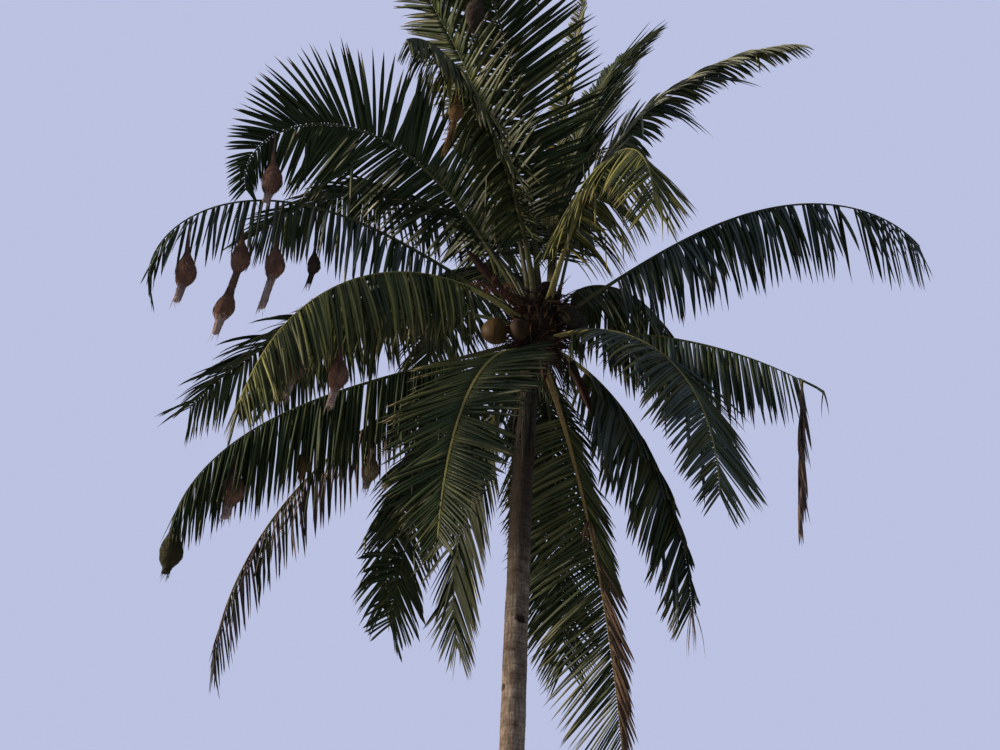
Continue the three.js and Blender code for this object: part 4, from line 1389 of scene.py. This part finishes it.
def make_fronds() -> list[Frond]:
    """Lists the crown's fronds, from the spear down.

    Returns:
        The fronds, each laid out from its seat.
    """
    deep, olive, fresh = LeafTone.DEEP, LeafTone.OLIVE, LeafTone.FRESH
    grey, pale, wilted, dead = LeafTone.GREY, LeafTone.PALE, LeafTone.WILTED, LeafTone.DEAD
    green_rib, fresh_rib, brown_rib = RibTone.GREEN, RibTone.FRESH, RibTone.BROWN
    teal = ((LeafTone.TEAL, 0.6), (deep, 0.4))
    mostly_deep = ((deep, 0.9), (olive, 0.1))
    # Frond_15's lit mix: its yellow-green share is a painted glow of sunlight.
    light = ((olive, 0.35), (fresh, 0.45), (deep, 0.2))
    return [
        Frond("frond_spear", 58, 87, 70, 1.0, 4.400, 0.505, 0.0, 0.2, ((fresh, 0.3), (olive, 0.7)), green_rib,
              "young_fronds", broken=0.0),
        Frond("frond_01", 241, 86, 17, 1.7, 4.600, 0.400, 0.15, 1.05, mostly_deep, broken=0.01),
        Frond("frond_02", 50, 88, 46, 1.1, 4.700, 0.350, 0.25, 0.95, habit=Habit((0.45, 0.4), (1.0, 0.6)),
              broken=0.02),
        # Frond_03's right-hand row takes the grey-green tone from 0.2 along its blade: a painted sheen.
        Frond("frond_03", 354, 79, -1, 1.6, 4.290, 0.360, 0.6, 0.95, ((olive, 0.5), (deep, 0.5), (grey, 0.0)),
              green_rib, "light_fronds", Habit(tail=(0.2, 0.5, 0.5, 1.0), toned=(1.0, 0.2)), pitch=0.028,
              leaflet_width=0.054),
        Frond("frond_04", 289, 38, -90, 1.7, 3.450, 0.190, 0.8, 0.95, ((fresh, 0.5), (olive, 0.5)), fresh_rib,
              "young_fronds", Habit(tail=(0.5, 1.0, 1.0, 0.75)), True),
        Frond("frond_05", 358, 36, -58, 2.7, 4.180, 0.150, 0.9, 0.9, teal, pitch=0.040, unruly=1.5,
              habit=Habit(tail=(0.6, 1.2, 1.1, 0.75), gaps=((0.59, 0.62), (0.69, 0.71), (0.725, 0.765)))),
        Frond("frond_06", 346, -1, -36, 1.0, 2.540, -0.090, 0.96, 0.85, teal, pitch=0.042, unruly=2.0),
        Frond("frond_07", 315, -4, -92, 0.95, 3.400, -0.170, 0.55, 0.85, ((olive, 0.35), *teal), fresh_rib,
              "light_fronds", Habit((1.3, 1.1), (1.25, 1.0), (0.75, 0.7, 1.3, 1.0)), unruly=0.6),
        Frond("frond_08", 51, 6, -92, 1.05, 3.610, -0.120, 0.85, 0.85, ((olive, 0.2), *teal), fresh_rib,
              habit=Habit(right=(0.5, 0.3)), broken=0.10, pitch=0.028, unruly=1.6, blunt=0.5),
        Frond("frond_09", 71, -24, -78, 0.95, 4.360, -0.220, 0.35, 1.05, ((deep, 0.5), (olive, 0.5), (dead, 0.0)),
              brown_rib, habit=Habit((1.05, 1.08), (0.62, 0.35), (0.6, 1.1, 1.0, 1.0), toned=(1.0, 0.45)),
              broken=0.02, unruly=0.6, leaflet_width=0.040),
        Frond("frond_10", 249, -18, -82, 0.87, 3.810, -0.330, 0.3, 0.85, ((deep, 0.75), (olive, 0.25)), fresh_rib,
              habit=Habit((1.05, 1.05), tail=(0.7, 0.7, 1.0, 1.0)), broken=0.08, unruly=0.6, leaflet_width=0.058),
        Frond("frond_11", 137, -38, -100, 0.8, 2.990, -0.385, 0.7, 0.85, ((pale, 0.7), (deep, 0.3)), fresh_rib,
              "light_fronds", Habit((1.0, 0.75), (0.95, 0.55)), leaflet_width=0.032),
        Frond("frond_12", 158, -25, -84, 0.55, 3.020, -0.320, 0.45, 0.75, ((deep, 0.7), (olive, 0.3)), broken=0.06,
              blunt=1.0, habit=Habit(tail=(0.6, 1.15, 1.5, 1.0), gaps=((0.55, 0.7),))),
        Frond("frond_13", 169, -17, -86, 1.35, 4.570, -0.240, 0.92, 0.7, ((deep, 0.35), (wilted, 0.65)), brown_rib,
              "old_fronds", broken=0.15, pitch=0.050, unruly=1.4, leaflet_width=0.034),
        Frond("frond_14", 181, -16, -76, 3.1, 3.950, -0.165, 0.95, 1.0, mostly_deep, unruly=1.3),
        Frond("frond_15", 224, 19, -74, 0.85, 4.430, 0.010, 0.9, 0.95, light, fresh_rib, "light_fronds",
              parted=True),
        Frond("frond_16", 183, 35, -98, 2.9, 4.680, 0.160, 0.97, 0.75, teal, parted=True, pitch=0.074, unruly=1.6,
              habit=Habit(tail=(0.6, 0.95, 0.7, 0.6))),
        Frond("frond_17", 187, 61, -107, 2.7, 4.400, 0.260, 0.25, 1.0, ((deep, 1.0),), parted=True, roll=60,
              pitch=0.032, unruly=0.95, leaflet_width=0.050, habit=Habit(tail=(0.6, 0.5, 1.0, 1.0))),
        Frond("frond_18", 155, 30, -42, 1.3, 4.200, 0.080, 0.5, 0.95, unruly=1.3),
        Frond("frond_19", 216, 81, 42, 1.4, 4.100, 0.300, 0.3, 0.75, broken=0.01),
        Frond("frond_20", 246, 74, -40, 1.2, 3.820, 0.245, 0.85, 0.6, ((olive, 0.7), (deep, 0.3)), unruly=1.6),
        Frond("frond_21", 139, 50, -50, 1.2, 4.300, 0.185, 0.7, 0.95),
        Frond("frond_22", 98, 76, -15, 1.3, 4.600, 0.320, 0.5, 1.0),
        Frond("frond_23", 110, 60, -45, 1.3, 4.600, 0.235, 0.6, 0.95),
        Frond("frond_24", 30, 74, -90, 0.95, 2.150, 0.225, 0.85, 0.95),
        Frond("frond_25", 90, 32, -70, 1.3, 4.500, 0.110, 0.8, 0.95),
        Frond("frond_26", 120, 10, -80, 1.2, 4.000, -0.040, 0.7, 0.9),
        Frond("frond_27", 84, 2, -80, 1.0, 4.100, -0.060, 0.7, 0.9),
        Frond("frond_28", 152, 68, -25, 1.3, 4.400, 0.300, 0.5, 0.95),
    ]


def snapped_end(broken: Frond) -> Frond:
    """Hangs the dead end of a snapped frond from its break.

    Args:
        broken: the frond that it hangs from.

    Returns:
        The dead end, as a frond whose stalk is left off.
    """
    end = Frond(broken.name + "_snapped_end", broken.azimuth, -95, -95, 1.0, 1.700, broken.height, 0.2, 0.45,
                ((LeafTone.DEAD, 0.4), (LeafTone.WILTED, 0.6)), RibTone.BROWN, "dead_frond",
                Habit((1.3, 0.28), (1.3, 0.28)), broken=0.0, stalk_from=0.17)
    place, tangent, _ = broken.spot(1.0)
    end.points = end.points + place + tangent * 0.012 - end.spot(end.bare)[0]
    return end


def make_tatters(fronds: dict[str, Frond]) -> list[Tatter]:
    """Lists the torn and stray leaflets.

    Args:
        fronds: the fronds by name.

    Returns:
        The tatters.
    """
    deep, teal = LeafTone.DEEP, LeafTone.TEAL
    rows = [("frond_06", "twig", 0.99, 0.42, 2, deep, 0.030, 0.270),
            ("frond_08", "threads", 0.99, 0.700, 12, LeafTone.WILTED),
            ("frond_09", "tuft", 0.44, 0.420, 14, LeafTone.DEAD),
            ("frond_20", "tuft", 0.72, 0.620, 12, LeafTone.FRESH, 0.030),
            ("frond_03", "strays", 0.60, 0.950, 5, teal, 0.036, 0.0, (335.0, 365.0), (-40.0, 5.0), -55.0),
            ("frond_03", "stray_tips", 0.71, 0.900, 3, teal, 0.034, 0.0, (340.0, 360.0), (-10.0, 8.0), -30.0),
            ("frond_07", "base", 0.09, 0.520, 18, deep, 0.034),
            ("frond_08", "base", 0.10, 0.560, 18, deep, 0.034),
            ("frond_27", "base", 0.10, 0.620, 18, deep, 0.034)]
    return [Tatter(owner + "_" + part, fronds[owner], *sizes) for owner, part, *sizes in rows]


def make_nests(fronds: dict[str, Frond]) -> list[Nest]:
    """Lists the nests and the fronds that carry them.

    Args:
        fronds: the fronds by name.

    Returns:
        The nests.
    """
    brown, orange, green, dark = StrawTone.BROWN, StrawTone.ORANGE, StrawTone.GREEN, StrawTone.DARK
    rows = [("frond_17", 0.82, 0.220, 0.105, 0.080),
            ("frond_16", 0.805, 0.300, 0.107, 0.160),
            ("frond_16", 0.68, 0.370, 0.098, 0.170, brown, 0.102),
            ("frond_16", 0.605, 0.440, 0.100, 0.330),
            ("frond_16", 0.52, 0.470, 0.066, 0.100, dark),
            ("frond_15", 0.72, 0.290, 0.085, 0.120),
            ("frond_15", 0.56, 0.650, 0.092, 0.140),
            ("frond_14", 0.745, 0.170, 0.108, 0.120),
            ("frond_14", 0.99, 0.030, 0.108, 0.040, green),
            ("frond_13", 0.35, 0.230, 0.084, 0.060, StrawTone.TAN),
            ("frond_12", 0.5, 0.060, 0.078, 0.060, orange),
            ("frond_01", 0.8, 0.420, 0.098, 0.060, dark),
            ("frond_20", 0.695, 0.300, 0.066, 0.330, orange),
            ("frond_14", 0.275, 0.330, 0.072, 0.040, green),
            ("frond_14", 0.545, 0.430, 0.068, 0.050, orange),
            ("frond_15", 0.95, 0.030, 0.060, 0.020, green)]
    return [Nest("nest_%02d" % i, fronds[owner], *sizes) for i, (owner, *sizes) in enumerate(rows, 1)]


def main() -> None:
    """Builds the palm and its studio."""
    logging.basicConfig(level=logging.INFO, format="%(message)s")
    studio = Studio()
    studio.camera()
    studio.floor()
    studio.light()
    fronds = make_fronds()
    by_name = {frond.name: frond for frond in fronds}
    bunches = [NutBunch("nut_bunch_left", 196, 7, 0.275, -0.060, 0.132, HUSK_GOLD, ((1, 168),)),
               NutBunch("nut_bunch_front", 230, 4, 0.165, -0.055, 0.104, HUSK_BROWN, ((1, 135),)),
               NutBunch("nut_bunch_right", 338, 14, 0.170, 0.040, 0.098, HUSK_DARK, ((1, 5), (1, 195), (0.6, 335)))]
    spathes = [Spathe("spathe_left", 200, 40, 48, 0.880, 0.047, 0.190),
               Spathe("spathe_right_low", 330, -48, -80, 0.950, 0.048, -0.260),
               Spathe("spathe_middle_low", 286, -50, -84, 0.460, 0.038, -0.330)]
    stalks = [FlowerStalk("flower_stalk_left", 206, 42, 0.620, 0.140),
              FlowerStalk("flower_stalk_front", 226, 32, 0.520, 0.110)]
    # Each group of pieces has its own run of seeds, so that one can be changed without the others.
    for first_seed, pieces in ((0, [Trunk()]), (1, [CrownHeart(fronds)]), (10, fronds),
                               (60, [snapped_end(by_name["frond_06"])]), (120, make_tatters(by_name)),
                               (70, bunches), (200, spathes), (80, stalks), (90, make_nests(by_name))):
        for i, piece in enumerate(pieces):
            piece.grow(first_seed + i)


if __name__ == "__main__":
    main()
